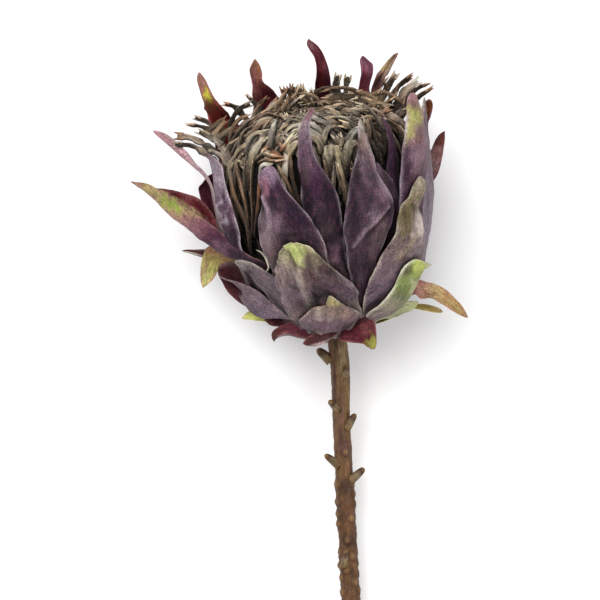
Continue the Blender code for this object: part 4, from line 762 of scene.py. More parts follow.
        outer=[(0, (63, 24, 35)), (0.5, (83, 33, 48)), (0.75, (90, 41, 50)), (0.9, (83, 46, 42)),
               (1, (75, 44, 39))],
        patches=[([(-29.5, 3.6), (-26, 5.2), (-20, 2.6), (-14, 1.6), (-12, -2), (-31, -2)],
                   (150, 134, 134), 0.9, 0.8)],
        folds_and_shade=[([(-29.5, 3.8), (-26, 5.4), (-18, 3.6), (-12, 2.6)], 0.5, 0.5, (120, 70, 74), 0.5)],
        rim=((150, 106, 104), 0.5, 0.5)),
    "foot_front": dict(
        outer=[(0, (55, 20, 29)), (0.5, (60, 24, 34)), (1, (88, 52, 48))],
        patches=[([(-2, 2.6), (-5, 1.2), (-9, 0), (-13.4, -1.2), (-14, -4), (-1, -4)],
                   (160, 142, 138), 0.9, 0.8)],
        rim=((150, 104, 104), 0.5, 0.5)),
    "foot_right": dict(
        outer=[(0, (60, 22, 32)), (0.3, (74, 28, 38)), (0.5, (104, 50, 56)), (0.8, (116, 66, 62)),
               (1, (120, 80, 62))],
        spots=[(6.5, 10.5, 4.5, 2.6, 30, (38, 16, 24), 0.85), (13, 13.6, 5, 2.8, 10, (40, 20, 28), 0.9),
               (14, 7, 3.4, 3.4, 0, (132, 80, 78), 0.6), (11, 12, 2.6, 2.4, 0, (50, 20, 28), 0.8)],
        patches=[([(18, 4.2), (16, 1), (13.6, -0.6), (15, -6), (21, -6), (21, 2)],
                   (156, 158, 78), 0.9, 2.4)],
        rim=((160, 112, 108), 0.6, 0.7)),
}


def ink(colour):
    """A colour as the eye reads it, turned into the renderer's own scale."""
    value = np.array(colour) / 255.0
    return np.where(value <= 0.04045, value / 12.92, ((value + 0.055) / 1.055) ** 2.4)


def blend(colours, colour, share):
    return colours + (colour - colours) * np.clip(share, 0, 1)[..., None]


def gradient(stops, along):
    """Colours along a form, from stops of a share of its length and a colour."""
    places, colours = zip(*stops)
    colours = np.array(colours)
    return np.stack([np.interp(along, places, colours[:, k]) for k in range(3)], axis=-1)


def ripples(places, wavelengths, seed):
    """Smooth random relief of about unit height, with its own wavelength along each axis."""
    draw = np.random.default_rng(seed)
    places = np.asarray(places, float) / np.asarray(wavelengths, float)
    total = np.zeros(places.shape[:-1])
    for _ in range(WAVE_COUNT):
        heading = draw.normal(size=places.shape[-1])
        heading = heading / np.linalg.norm(heading) * draw.uniform(0.6, 1.4)
        total += np.cos(2 * math.pi * (places @ heading + draw.uniform()))
    return total * math.sqrt(2.0 / WAVE_COUNT)


def wander(page, stray, seed):
    """A smooth random shift of the places of the page, from how far and its wavelength."""
    reach, wavelength = stray
    return reach * grid(*(ripples(page, (wavelength, wavelength), seed + k) for k in (0, 1)))


def line_distance(page, line):
    """How far each place of the page lies from a line of points."""
    best = np.full(page.shape[:-1], 1e9)
    for first, second in zip(np.array(line, float), np.array(line[1:], float)):
        run = second - first
        share = np.clip(((page - first) @ run) / run.dot(run), 0, 1)
        best = np.minimum(best, np.linalg.norm(page - first - share[..., None] * run, axis=-1))
    return best


def ridge(page, line, width):
    """A share from 1 on a line of points on the page to 0 well away from it."""
    return np.exp(-((line_distance(page, line) / width) ** 2))


def dab(page, x, y, wide, tall, power=2):
    """A share from 1 in the middle of a dab on the page to 0 well outside it."""
    return np.exp(-(np.hypot((page[..., 0] - x) / wide, (page[..., 1] - y) / tall) ** power))


def inside(page, outline, blur):
    """A share from 0 outside an outline on the page to 1 inside it."""
    closed = outline + outline[:1]
    within = np.zeros(page.shape[:-1], bool)
    for (ax, ay), (bx, by) in zip(closed, closed[1:]):
        crosses = (ay > page[..., 1]) != (by > page[..., 1])
        if ay != by:
            within ^= crosses & (page[..., 0] < (bx - ax) * (page[..., 1] - ay) / (by - ay) + ax)
    reach = line_distance(page, closed)
    return np.clip(0.5 + np.where(within, reach, -reach) / blur, 0, 1)


class Form:
    """Collects grids of vertices and makes one smooth object of them."""

    def __init__(self):
        self.places, self.tints, self.grains, self.faces, self.count = [], [], [], [], 0

    def add(self, places, tints, grains, *faces):
        for kept, values in ((self.places, places), (self.tints, tints), (self.grains, grains)):
            kept.append(values.reshape(-1, 3))
        self.faces += [group + self.count for group in faces]
        self.count += self.places[-1].shape[0]

    def make(self, name, paint, node, slot):
        """The object, in the scene and in the place of its solid."""
        mesh = bpy.data.meshes.new(name)
        places = world(np.concatenate(self.places))
        places[:, 2] = np.maximum(places[:, 2], FLOOR_GAP)
        mesh.from_pydata(places.tolist(), [], [face for group in self.faces for face in group.tolist()])
        mesh.shade_smooth()
        colours = np.clip(np.concatenate(self.tints), 0, 1)
        colours = np.column_stack([colours, np.ones(len(colours))]).astype(np.float32)
        mesh.attributes.new("tint", "FLOAT_COLOR", "POINT").data.foreach_set("color", colours.ravel())
        grains = np.concatenate(self.grains).astype(np.float32)
        mesh.attributes.new("grain", "FLOAT_VECTOR", "POINT").data.foreach_set("vector", grains.ravel())
        mesh.validate()
        mesh.materials.append(paint)
        piece = bpy.data.objects.new(name, mesh)
        bpy.context.scene.collection.objects.link(piece)
        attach(piece, "root")
        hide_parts(node)


def grid_faces(rows, columns, closed=False, flip=False, start=0):
    """Quads over a grid of vertices, its rows optionally closed to rings."""
    steps = np.arange(columns if closed else columns - 1)
    first, second = np.meshgrid(np.arange(rows - 1) * columns, steps, indexing="ij")
    after = (second + 1) % columns
    below = first + columns
    quads = grid(first + second, first + after, below + after, below + second).reshape(-1, 4)
    return (quads[:, ::-1] if flip else quads) + start


def blade_faces(rows, columns):
    """The faces of a closed blade: an outer grid, an inner grid and the rim between them."""
    inner = rows * columns
    rim = np.concatenate([np.arange(columns), np.arange(2, rows) * columns - 1,
                          inner - 1 - np.arange(columns), np.arange(rows - 2, 0, -1) * columns])
    after = np.roll(rim, -1)
    faces = [grid_faces(rows, columns), grid_faces(rows, columns, flip=True, start=inner)]
    return np.concatenate([*faces, grid(after, rim, rim + inner, after + inner)])


class Bract:
    """One bract with its arch, raised and sunken creases, waves and wrinkles, its thickness and its colours,
    which hold painted light and shade.
    """

    def __init__(self, look, rows, seed, step, strips):
        self.look, self.seed = look, seed
        length = distances(through(rows, 40)[0][:, :3])[-1]
        line, along = through(rows, int(np.clip(length / step, *BRACT_STATIONS)))
        left, right, bulge = line[:, :3], line[:, 3:6], line[:, 6:]
        close = np.sqrt(1 - (TIP_ROUND * np.clip((along - TIP_FROM) / (1 - TIP_FROM), 0, 1)) ** 2)[:, None]
        middle, half = (left + right) / 2, (right - left) / 2 * close
        broad = np.linalg.norm(half, axis=1)[:, None]
        out = unit(np.cross(half, np.gradient(middle, axis=0)))[:, None]
        across = np.sin(np.linspace(-math.pi / 2, math.pi / 2, strips + 1))
        self.along, self.across = along[:, None] + 0 * across, np.abs(across)
        self.down, self.side = np.broadcast_arrays(along[:, None] * length, broad * across)
        self.margin = np.minimum(broad * (1 - self.across), (1 - along)[:, None] * length)

        ragged = 1 + RAGS[0] * self.edge_noise(40, RAGS[1], 3) * self.across**3
        blade = middle[:, None] + half[:, None] * (across * ragged)[..., None]
        blade = blade + out * (bulge * close * (1 - across**2))[..., None]
        facing = unit(np.cross(np.gradient(blade, axis=1), np.gradient(blade, axis=0)))
        self.facing = np.where((facing * out).sum(-1, keepdims=True) < 0, out, facing)
        self.page = on_page(blade)
        far, wide, least = RELIEF_ROOM
        room = np.clip(self.down / far, 0, 1) * np.clip(broad / wide, least, 1)
        self.relief = self.folded(room)
        self.blade = blade + self.facing * np.clip(self.relief, -MOST_RELIEF, MOST_RELIEF)[..., None]

    def noise(self, wavelengths, seed):
        return ripples(grid(self.down, self.side), wavelengths, self.seed + seed)

    def edge_noise(self, apart, wavelengths, seed):
        """Random relief that follows each edge and is the same right across to the middle."""
        return ripples(grid(self.down, np.sign(self.side) * apart), wavelengths, self.seed + seed)

    def folded(self, room):
        """How far the bract stands off its plain blade, where there is room for it."""
        relief = WRINKLES[0] * self.noise(WRINKLES[1], 0) + CREASES[0] * self.noise(CREASES[1], 1)
        relief = self.look["crumple"] * relief + WAVES[0] * self.across**3 * self.edge_noise(60, WAVES[1], 2)
        relief = relief * room
        for marked_line, width, height, _, _ in self.look["folds_and_shade"]:
            relief = relief + height * ridge(self.page, marked_line, width)
        return relief

    def tints(self, number, face):
        """The colours of the outer or the inner face."""
        look, page = self.look, self.page
        # colours from root to tip, darker near the roots partly as painted shade where the bracts overlap
        colours = gradient([(share, ink(colour)) for share, colour in look[face]], self.along)
        # spots, many of them painted shade and some painted highlights
        spot_page = page + wander(page, SPOT_STRAY, self.seed + 11)
        for x, y, wide, tall, turn, colour, strength in look["spots"]:
            lean = math.radians(turn)
            gap = spot_page - np.array([x, y])
            on, up = gap @ (math.cos(lean), math.sin(lean)), gap @ (-math.sin(lean), math.cos(lean))
            share = np.exp(-(((on / wide) ** 2 + (up / tall) ** 2) ** SPOT_EDGE))
            colours = blend(colours, ink(colour), strength * share)
        ragged_page = page + wander(page, PATCH_STRAY, self.seed + 13)
        for patch, colour, strength, blur in look["patches"]:
            uneven = ragged_page if blur > SHARP else page
            colours = blend(colours, ink(colour), strength * inside(uneven, patch, blur))
        # colour along each line: painted light on raised creases, painted shade in sunken ones and painted
        # shadow beside the edges of the bracts in front
        for marked_line, width, _, colour, strength in look["folds_and_shade"]:
            colours = blend(colours, ink(colour), strength * ridge(page, marked_line, width))
        cloud, fleck = self.noise(CLOUDS[1], 20 + number), self.noise(FLECKS[1], 30 + number)
        colours = blend(colours, ink(BROWN_GREY), CLOUD_BROWN * cloud)
        colours = blend(colours, ink(STAIN), STAIN_STRENGTH * np.clip(fleck - STAINS_FROM, 0, 1))
        # random clouds and flecks of tone, with painted light where the relief stands out and painted shade
        # where it sinks
        shade = 1 + CLOUDS[0] * cloud + FLECKS[0] * fleck + RELIEF_SHADE * np.clip(self.relief, -1, 1)
        colour, width, strength = look["rim"]
        edge = strength * np.exp(-((self.margin / width) ** 2))
        edge = edge * np.clip(0.6 + 0.4 * self.edge_noise(60, RIM_PATCHES, 40), 0, 1)
        return blend(colours * shade[..., None], ink(colour), edge)

    def add_to(self, form):
        thick = RIM_THICK + (BRACT_THICK - RIM_THICK) * np.clip(self.margin / RIM_BAND, 0, 1) ** 0.7
        lift = self.facing * thick[..., None] / 2
        tints = [self.tints(number, face) for number, face in enumerate(("outer", "inner"))]
        grains = grid(self.down, self.side, self.seed * 3.0)
        places = np.stack([self.blade + lift, self.blade - lift])
        form.add(places, np.stack(tints), np.stack([grains, grains]), blade_faces(*self.down.shape))


def add_tube(form, places, outward, halves, thicks, tints, seed, sides, furrow=0.0):
    """A closed strand of an oval, furrowed section along places, its ends drawn to a point."""
    rings, angle = len(places), circle(sides)
    run = unit(np.gradient(places, axis=0))
    up = unit(outward - (outward * run).sum(1, keepdims=True) * run)
    wide = halves[:, None] * np.cos(angle)
    groove = furrow * np.exp(-((np.cos(angle) / 0.4) ** 2)) * (np.sin(angle) > 0)
    high = thicks[:, None] * (np.sin(angle) - groove)
    skin = places[:, None] + np.cross(run, up)[:, None] * wide[..., None] + up[:, None] * high[..., None]
    tints = np.broadcast_to(tints, skin.shape)
    grains = grid(distances(places)[:, None], angle * 1.4, seed * 5.0)
    ring = np.arange(sides)
    after, last, tip = (ring + 1) % sides, (rings - 1) * sides, rings * sides
    caps = np.concatenate([grid(after, ring, tip), grid(ring + last, after + last, tip + 1)])
    closed = [np.concatenate([values.reshape(-1, 3), ends]) for values, ends in (
        (skin, places[[0, -1]]), (tints, tints[[0, -1], 0]), (grains, grains[[0, -1], 0]))]
    form.add(*closed, grid_faces(rings, sides, closed=True), caps)


def turned(name, profile, tint, paint, node, slot):
    """A turned form from a profile of radius and height, its surface a little uneven."""
    rows, _ = through([(r, 0, h, r, 0, h, 0) for r, h in profile], len(profile) * 4)
    angle, height = circle(TURNED_SIDES), rows[:, 2:3]
    uneven = ripples(grid(np.cos(angle) * 30, height), TURNED_UNEVEN[1], 5)
    radius = rows[:, :1] * (1 + TURNED_UNEVEN[0] * uneven)
    places = grid(radius * np.cos(angle), radius * np.sin(angle), height)
    tints = tint * (1 + TURNED_MOTTLE[0] * ripples(places, TURNED_MOTTLE[1], 6)[..., None])
    downward = profile[0][1] > profile[-1][1]
    form = Form()
    form.add(places, tints, places, grid_faces(len(rows), TURNED_SIDES, closed=True, flip=downward))
    form.make(name, paint, node, slot)


def make_bracts(paint):
    groups = {"bracts_near": NEAR_BRACTS, "bracts_far": FAR_BRACTS, "bracts_loose": FREE_BRACTS}
    forms = {name: Form() for name in (*groups, "bracts_under")}
    for number, (name, rows) in enumerate(all_bracts().items()):
        home = next((group for group, table in groups.items() if name in table), "bracts_under")
        step, strips = COARSE_BRACT if home == "bracts_under" else FINE_BRACT
        Bract({**PLAIN, **LOOKS.get(name, {})}, rows, SEED + 50 * number, step, strips).add_to(forms[home])
    places, _, along = smooth_course([(*seen(*spot), 1.0) for spot in PALE_LIP], LIP_RINGS)
    size = LIP_HALF * np.sin(math.pi * (0.08 + 0.88 * along)) ** 0.5
    add_tube(forms["bracts_near"], places, BLOOM[:, 2], size, size * 0.6, ink(BONE), 9, 8)
    for name, form in forms.items():
        form.make(name, paint, "bracts", "bract")


# tones of the florets, the darkest of them painted shade for their roots, their core and the gaps between
# them
GAP_SHADE = ink((34, 26, 23))
UMBER = ink((84, 64, 50))
TONES = {"grey": ink((186, 168, 150)), "olive": ink((184, 168, 138)), "pale": ink((218, 206, 178)),
         "brown": ink((152, 122, 98)), "dark": ink((88, 70, 60)), "orange": ink((190, 148, 116)),
         "rust": ink((142, 98, 74)), "wool": ink((222, 214, 200)), "tan": ink((200, 174, 144)),
         "peach": ink((226, 196, 164)), "shadow_gap": GAP_SHADE}

# florets: the core that they stand out of, radius over height
FLORET_CORE = [
    (0.0, 110.0), (10.0, 110.0), (24.0, 108.5), (36.0, 105.0), (41.0, 99.0), (42.5, 85.0), (41.0, 62.0),
    (37.0, 46.0), (33.0, RECEPTACLE_TOP + SEAT_GAP), (0.0, RECEPTACLE_TOP + SEAT_GAP)]

# the dome's outside as radius and height, the heart that it is seen from, and where its crown starts
DOME_SIDE = [(38, 40), (43.5, 62), (46, 84), (45.6, 96), (42.5, 103.5), (36, 109), (27, 112.5), (14, 114.5),
             (0, 114.2)]
DOME_HEART = np.array([0.0, 0.0, 62.0])
CROWN_FROM = 90.0

# depths tried along a line of sight to the dome, from the front to the back
DOME_DEPTHS = np.arange(95.0, -60.0, -0.25)

# the crater that the florets head for, and the radius within which they do
CRATER = np.array([-3.0, 8.0])
FLORET_REACH = 45.0
FLORET_ROOT = 0.9
FLORET_STATIONS = 16
FLORET_FACETS = 12
GRAIN_SEEDS = 211

# relief and tones of a floret: how strong, and its wavelengths along and around in millimetres
LUMPS = (0.08, (8,))
TWIST = (1.5, (30,))
ROUGHNESS = (0.06, (3, 2))
BLOTCHES = (0.1, (4.5, 3))
STREAKS = (0.18, (9, 1.6))

# grooves of a floret: how deep and how many, and how far a floret rolls over in radians
GROOVES = (0.15, 4)
MOST_ROLL = 0.7

# rings of florets: how many, half width, half thickness, stray, and the course as radius, height
FLORET_RINGS = [
    (36, 1.55, 1.0, 1.2, [(38.5, 46), (43.4, 68), (45.4, 84), (45.2, 96), (41.0, 105.5), (33, 110.4)]),
    (32, 1.6, 1.0, 1.4, [(37, 58), (41.3, 76), (43.0, 92), (41.4, 101.4), (36, 108), (27.5, 111.2)]),
    (26, 1.65, 1.0, 1.5, [(38, 94), (37, 104.8), (31.4, 111), (21.5, 113.4)]),
    (22, 1.6, 1.0, 1.5, [(31, 102), (28.8, 110.2), (22.5, 113.6), (14.5, 114.2)]),
    (16, 1.5, 0.9, 1.3, [(23, 105), (20.8, 112.2), (15, 114.6), (9, 113.8)]),
    (10, 1.3, 0.8, 1.0, [(15, 106), (13, 112.4), (9, 114.0), (5, 112.6)])]
OUTER_RINGS = 2

# swirl of the rings' florets in degrees: mean, spread and more of it for each ring, and its limits
SWIRL = (3.0, 10.0, 3.0)
SWIRL_LIMITS = (-36.0, 38.0)

# how the rings' florets stray: share of reach, most lift, how early they arch, share of size
RING_REACH = (-0.2, 0.14)
RING_LIFT = 3.4
RING_EARLY = (-0.1, 0.15)
RING_SIZES = (0.75, 1.25)

# short florets and fluff: how many, and their reach, rise and lift in millimetres
SHORT_FLORETS = 60
CROWN_RADIUS = 37
SHORT_REACH = (7, 12)
SHORT_RISE = (-0.5, 4.5)
FLUFF = 260
FLUFF_REACH = (2.0, 5.0)
FLUFF_RISE = (-0.6, 1.2)
FLUFF_LIFT = (1.0, 3.4)
FRONT_FLUFF = ["wool", "pale", "tan", "grey"]
BACK_FLUFF = ["tan", "brown", "grey", "dark", "olive"]

# tones of parts of the dome in the front view: x, y, half width, half height, tone, strength
# the spots of the darkest tone are painted shade in the gaps between the florets
DOME_SPOTS = [
    (-8, 107, 9, 6.5, "wool", 0.55), (-22, 107, 5, 5, "pale", 0.4), (-17, 115.6, 5.5, 2.2, "shadow_gap", 0.85),
    (-2, 122.5, 14, 3, "tan", 0.3), (8, 104, 4, 3, "wool", 0.4), (16, 100, 6, 9, "shadow_gap", 0.6),
    (-22, 72, 6, 12, "shadow_gap", 0.5), (-35.5, 106, 2.4, 1.8, "shadow_gap", 0.7), (-10, 118, 3.4, 1.3, "shadow_gap", 0.7),
    (8, 110.5, 2.6, 1.6, "shadow_gap", 0.6), (-22, 119.6, 2.2, 1.4, "shadow_gap", 0.6), (11, 118, 4, 1.2, "pale", 0.9),
    (-20, 108, 2.4, 1.6, "wool", 0.9), (23, 93, 8, 12, "shadow_gap", 0.9), (4, 94, 14, 10, "shadow_gap", 0.36),
    (-61, 99, 5, 5, "wool", 0.7), (-48.5, 100, 5, 5, "shadow_gap", 0.35), (-46, 88.5, 4, 5, "shadow_gap", 0.6),
    (-51, 83, 4, 5, "shadow_gap", 0.55), (-36, 103.5, 3, 3, "shadow_gap", 0.55), (1, 105.5, 7.5, 5.5, "shadow_gap", 0.9),
    (-6, 114, 4.4, 3.2, "shadow_gap", 0.75), (8.8, 108.8, 3.4, 3.2, "shadow_gap", 0.5),
    (-41, 98.5, 4.5, 4.5, "wool", 0.8), (-28, 119, 4, 3, "tan", 0.8), (-26, 113.5, 3.4, 2.4, "shadow_gap", 0.4),
    (-41, 113, 4.5, 3.4, "grey", 0.8), (34, 114.5, 4.5, 2.6, "grey", 0.8), (19, 121, 4.5, 4, "tan", 0.9),
    (-59, 105.5, 5, 4.5, "tan", 0.9), (-56, 88.5, 4, 4.5, "grey", 0.9), (8, 89, 4, 9, "shadow_gap", 0.95),
    (-5, 88, 4, 6, "shadow_gap", 0.65), (0, 78, 10, 8, "shadow_gap", 0.5), (-45, 60, 10, 11, "shadow_gap", 0.45)]
PALE_SPOTS = 0.55

# the azimuth that faces the eye, and the radius within which the florets there are palest
FRONT_AZIMUTH = -88
FRONT_RADIUS = 34

# how dark the core's painted shade is, and the least share of its width that a floret off the dome keeps
CORE_SHADE = 0.5
LONE_LEAST = 0.78

# florets told apart in the front view: half width, tone, tone of the end, how many points, and
# the course as x, y and height off the dome
NAMED_FLORETS = [
    (1.4, "brown", "orange", 2, [(-53.5, 100, 0.5), (-52.6, 106, 1.5), (-49.5, 110.8, 2.5),
        (-45, 113.3, 2.5)]),
    (1.8, "brown", "grey", 2, [(-51, 100, 0.3), (-49.4, 105, 1.4), (-46.6, 109, 2), (-43, 111.6, 1.8)]),
    (1.7, "dark", "brown", 2, [(-47, 103, 0.3), (-45.6, 107.6, 1.4), (-42.6, 111, 1.6)]),
    (1.6, "grey", "tan", 3, [(-53, 98, 0.5), (-48.1, 105.9, 2.5), (-43.5, 110.6, 3.2),
        (-33.4, 116.6, 2.5)]),
    (1.6, "brown", "grey", 3, [(-43.8, 101, 0.5), (-41.4, 105.9, 2.5), (-38.3, 108.4, 2.8),
        (-33, 110.6, 2)]),
    (1.3, "tan", "orange", 3, [(-42, 109, 0.5), (-35.6, 113.1, 2), (-29.8, 113.4, 2.2), (-24.5, 111, 1.5)]),
    (1.5, "brown", "tan", 2, [(-46, 106.5, 0.5), (-41, 111, 2), (-36, 114.6, 2.6), (-29.5, 116.4, 2)]),
    (1.4, "brown", "brown", 2, [(-62, 102, 0.5), (-59.3, 106.8, 2), (-55.8, 110.8, 2.5)]),
    (1.2, "grey", "brown", 2, [(-65.5, 104, 0.5), (-61.5, 108.1, 1.5), (-57.6, 110.6, 2)]),
    (1.6, "grey", "grey", 3, [(-60.5, 101.5, 1), (-57.3, 103.4, 2.5), (-52.6, 106.2, 3)]),
    (1.9, "grey", "olive", 2, [(-53.5, 91, 1), (-57.1, 97, 3), (-61, 101.3, 3.6), (-65.1, 103.6, 3),
        (-68.9, 105.2, 2)]),
    (1.6, "grey", "grey", 2, [(-53.8, 88.5, 1), (-57.6, 92.8, 3), (-61.5, 95, 3.6), (-66, 94.6, 3)]),
    (1.8, "olive", "pale", 3, [(-45.5, 95, 1), (-44.2, 100.5, 3), (-40.8, 104, 4), (-36, 104.9, 3)]),
    (1.5, "olive", "tan", 4, [(-52.2, 89, 1), (-50.4, 93.9, 3), (-47.7, 97.4, 3.6), (-45.6, 98.8, 3)]),
    (2.3, "wool", "grey", 1, [(-33.6, 95, 1), (-33.2, 101, 3.2), (-32.2, 106, 3.6), (-30.4, 110.2, 3)]),
    (1.5, "peach", "orange", 3, [(-39.5, 91.5, 1), (-36.5, 94, 3.5), (-32.4, 92.8, 4.4),
        (-28.6, 92.6, 3.8)]),
    (1.3, "orange", "peach", 3, [(-38.6, 89.6, 1), (-35.4, 91, 3.8), (-31.6, 90.4, 4.6), (-27.6, 90.8, 4)]),
    (1.4, "wool", "pale", 3, [(-38.4, 85.6, 2), (-36.6, 88.6, 3.8), (-33, 88.8, 4.2)]),
    (1, "peach", "orange", 3, [(-37.4, 93, 2), (-37, 95.6, 4), (-35.4, 97.2, 4.4)]),
    (1.2, "rust", "rust", 2, [(-33, 95, 1.5), (-30, 93.6, 3), (-28, 91, 3)]),
    (0.9, "orange", "orange", 2, [(-28.8, 99.8, 2), (-26.8, 97.4, 3), (-24.9, 99.6, 3)]),
    (0.8, "rust", "orange", 2, [(-28.2, 95.5, 2), (-26.4, 97, 3), (-26, 99, 3)]),
    (1.6, "pale", "pale", 3, [(-26.3, 95.5, 1), (-24.2, 100.6, 3), (-21.4, 103, 3.4)]),
    (0.9, "pale", "wool", 3, [(-26, 104, 1), (-23, 107.5, 3), (-19.5, 108.5, 3)]),
    (0.9, "pale", "pale", 3, [(-25.5, 108, 1), (-22.5, 110.8, 2.5), (-18.8, 110.6, 2.5)]),
    (0.8, "pale", "tan", 3, [(-23.5, 103, 1), (-21, 106, 3), (-18.6, 106, 3)]),
    (0.9, "tan", "pale", 3, [(-24, 110.5, 1), (-20.8, 112.6, 2.2), (-17.6, 112, 2)]),
    (0.8, "pale", "wool", 3, [(-20.5, 103, 1), (-19.2, 106, 3), (-18.4, 109, 3)]),
    (1, "tan", "tan", 3, [(-30, 102.5, 1), (-28.4, 106, 3), (-25.8, 108.2, 3)]),
    (0.9, "grey", "pale", 3, [(-29.5, 106, 1), (-28.2, 109.4, 2.5), (-25.6, 111, 2.5)]),
    (1.4, "olive", "grey", 2, [(0.8, 95.5, 2), (2.2, 99.8, 4), (1.2, 103, 4.6)]),
    (1.1, "olive", "grey", 1, [(2.4, 98.6, 3), (0.4, 100.2, 4.4), (-1.7, 102.4, 4.4)]),
    (1.8, "wool", "wool", 2, [(5.2, 100, 2), (6.9, 103, 4), (9, 105.4, 4), (11.6, 106.2, 3)]),
    (1.7, "olive", "olive", 3, [(-7.2, 98.5, 1.5), (-6.4, 102.6, 3.6), (-4.8, 106, 3.6), (-3, 108, 3)]),
    (1.8, "olive", "pale", 2, [(-8, 95.5, 1.5), (-9, 99.6, 3.8), (-11.6, 101.6, 4), (-14.6, 101.8, 3)]),
    (1.6, "wool", "wool", 3, [(-2.2, 106.5, 2), (-5, 109.5, 3.6), (-9, 110.9, 3.6), (-13.4, 113, 2.6)]),
    (1.7, "wool", "grey", 3, [(-6.4, 103, 2), (-9.2, 106, 3.8), (-12, 108.4, 3.4), (-14.6, 110, 2.6)]),
    (1.6, "wool", "wool", 2, [(-7.4, 100.8, 2), (-10.4, 103.6, 3.8), (-14.4, 105.6, 3.2)]),
    (1.3, "wool", "grey", 3, [(-2.6, 110.6, 1.5), (-6.4, 112.9, 2.8), (-11, 114.4, 2.2)]),
    (1.6, "pale", "olive", 2, [(11, 103.6, 1.5), (8.8, 108, 3.6), (4, 111.6, 3.8), (-3.6, 112.4, 2.6)]),
    (1.4, "grey", "pale", 2, [(25, 97, 1), (22.4, 106.6, 3), (18.6, 113.6, 4), (12.6, 118.4, 3.6),
        (7.6, 119.6, 2.6)]),
    (1.4, "olive", "pale", 1, [(17.2, 113, 1.5), (19.4, 117, 3.6), (23.2, 120, 4)]),
    (1.4, "brown", "orange", 2, [(19.8, 111.5, 1.5), (22.6, 114.9, 3.2), (26.4, 116.6, 3)]),
    (1.6, "brown", "dark", 2, [(33.4, 117, 1), (30, 121.4, 2.5), (25, 124.4, 3), (20.6, 124.2, 2.4)]),
    (1.3, "olive", "tan", 2, [(18.6, 119, 1.5), (19.8, 122.6, 3.2), (22, 125.4, 3.4)]),
    (1.7, "tan", "pale", 3, [(19.6, 116, 1.5), (16, 120.4, 3.4), (12, 122.2, 3.2), (8, 121.6, 2.4)]),
    (1.5, "brown", "tan", 2, [(19, 122, 1), (13, 124.6, 2.6), (6.2, 125, 2.2)]),
    (1.5, "brown", "brown", 2, [(11, 124.6, 1), (4.7, 127, 3), (-1, 126.9, 3.2), (-7, 125.6, 2.4)]),
    (1.4, "brown", "dark", 2, [(0, 126.4, 1), (-7.4, 126.2, 2.6), (-12, 124, 2)]),
    (1.4, "dark", "grey", 2, [(8, 122.6, 0.8), (2, 123.4, 2), (-4, 122.4, 1.6)]),
    (1.4, "brown", "tan", 3, [(7, 120.8, 0.8), (0.3, 122, 2), (-6, 121, 1.4)]),
    (1.5, "tan", "olive", 3, [(3.4, 117.4, 1), (-3, 119.6, 2.4), (-9, 119.8, 2.4), (-15.8, 118.4, 1.6)]),
    (1.3, "tan", "tan", 2, [(9, 116.6, 1), (4.7, 119.6, 2.6), (0, 120.4, 2)]),
    (1.4, "tan", "brown", 3, [(5.2, 113.8, 1), (0.7, 116.6, 2.6), (-5.1, 117, 2.4), (-10.4, 115.6, 1.4)]),
    (1.4, "grey", "grey", 2, [(10.6, 113, 1), (6.4, 115.6, 2.6), (1.6, 116.2, 2)]),
    (1.9, "grey", "olive", 3, [(34.8, 104.6, 1), (32.2, 109.6, 3.4), (28.8, 112.2, 3.8), (25.6, 114, 3)]),
    (1.8, "brown", "grey", 2, [(33.6, 98.6, 1), (31, 106.4, 3.2), (27, 109.9, 3.6), (22, 111.6, 2.8)]),
    (1.5, "grey", "grey", 2, [(28.6, 112, 1.5), (31.8, 115.4, 3), (35, 116.6, 3)]),
    (1.3, "brown", "grey", 2, [(17, 88, 0), (15.6, 99, 1), (16, 107, 2.4), (14, 111.4, 2.4)]),
    (1.3, "dark", "brown", 2, [(22.5, 88, 0), (20.5, 98, 1), (17.8, 107, 1.8), (16.6, 112, 2)]),
    (1.2, "brown", "brown", 1, [(28.6, 84, 0.3), (28.4, 94, 1.4), (26.4, 103, 2)]),
    (1.8, "wool", "pale", 2, [(-24.5, 117, 1.5), (-21, 121, 4), (-17.6, 124, 4.6)]),
    (1.3, "tan", "wool", 3, [(-31, 117, 1), (-28.6, 119.6, 3), (-25, 119.8, 3)]),
    (1.2, "brown", "rust", 2, [(-27, 118.6, 2), (-26.4, 123, 5), (-27.4, 126.4, 6.5)]),
    (1.3, "brown", "brown", 2, [(-22, 118.6, 2), (-22.4, 124, 5.5), (-21.2, 127.6, 7)]),
    (1.2, "dark", "tan", 2, [(-17, 119, 2), (-15.6, 123.6, 5), (-16.6, 127, 6.5)]),
    (1.4, "tan", "brown", 3, [(-13.5, 121, 1.5), (-17, 123.6, 3.4), (-21.6, 123, 3)]),
    (1.2, "tan", "olive", 2, [(-26.5, 115.6, 1), (-22, 118.4, 2.6), (-17.5, 119.6, 2.4)]),
    (1.3, "brown", "tan", 2, [(-33, 113.4, 1), (-29.6, 116.4, 2.6), (-24.4, 117.4, 2.4)]),
    (1.1, "tan", "wool", 3, [(-12, 120, 2), (-11.4, 123.4, 4.5), (-13, 126, 5)]),
    (2.2, "brown", "tan", 2, [(-27, 116, 1), (-24, 120, 3.5), (-20.5, 123.2, 5)]),
    (2, "tan", "brown", 3, [(-31, 117, 1), (-28, 121.2, 4), (-25.4, 124.8, 6)]),
    (1.8, "brown", "rust", 3, [(-25, 119, 2), (-23.6, 123.5, 5), (-24.6, 126.8, 6.5)]),
    (1.7, "dark", "tan", 3, [(-20, 119, 2), (-18.6, 123.6, 5.5), (-18.4, 127, 7)]),
    (1.9, "brown", "brown", 2, [(-15, 119.5, 1.5), (-18.5, 122.4, 4), (-22.6, 122.4, 4.6)]),
    (1.8, "grey", "brown", 2, [(-34.5, 114.5, 1), (-32.4, 118.4, 3), (-29.6, 121, 4)]),
    (1.6, "brown", "rust", 3, [(-42, 112.5, 0.8), (-39.8, 116.4, 2.6), (-37.6, 119, 3)]),
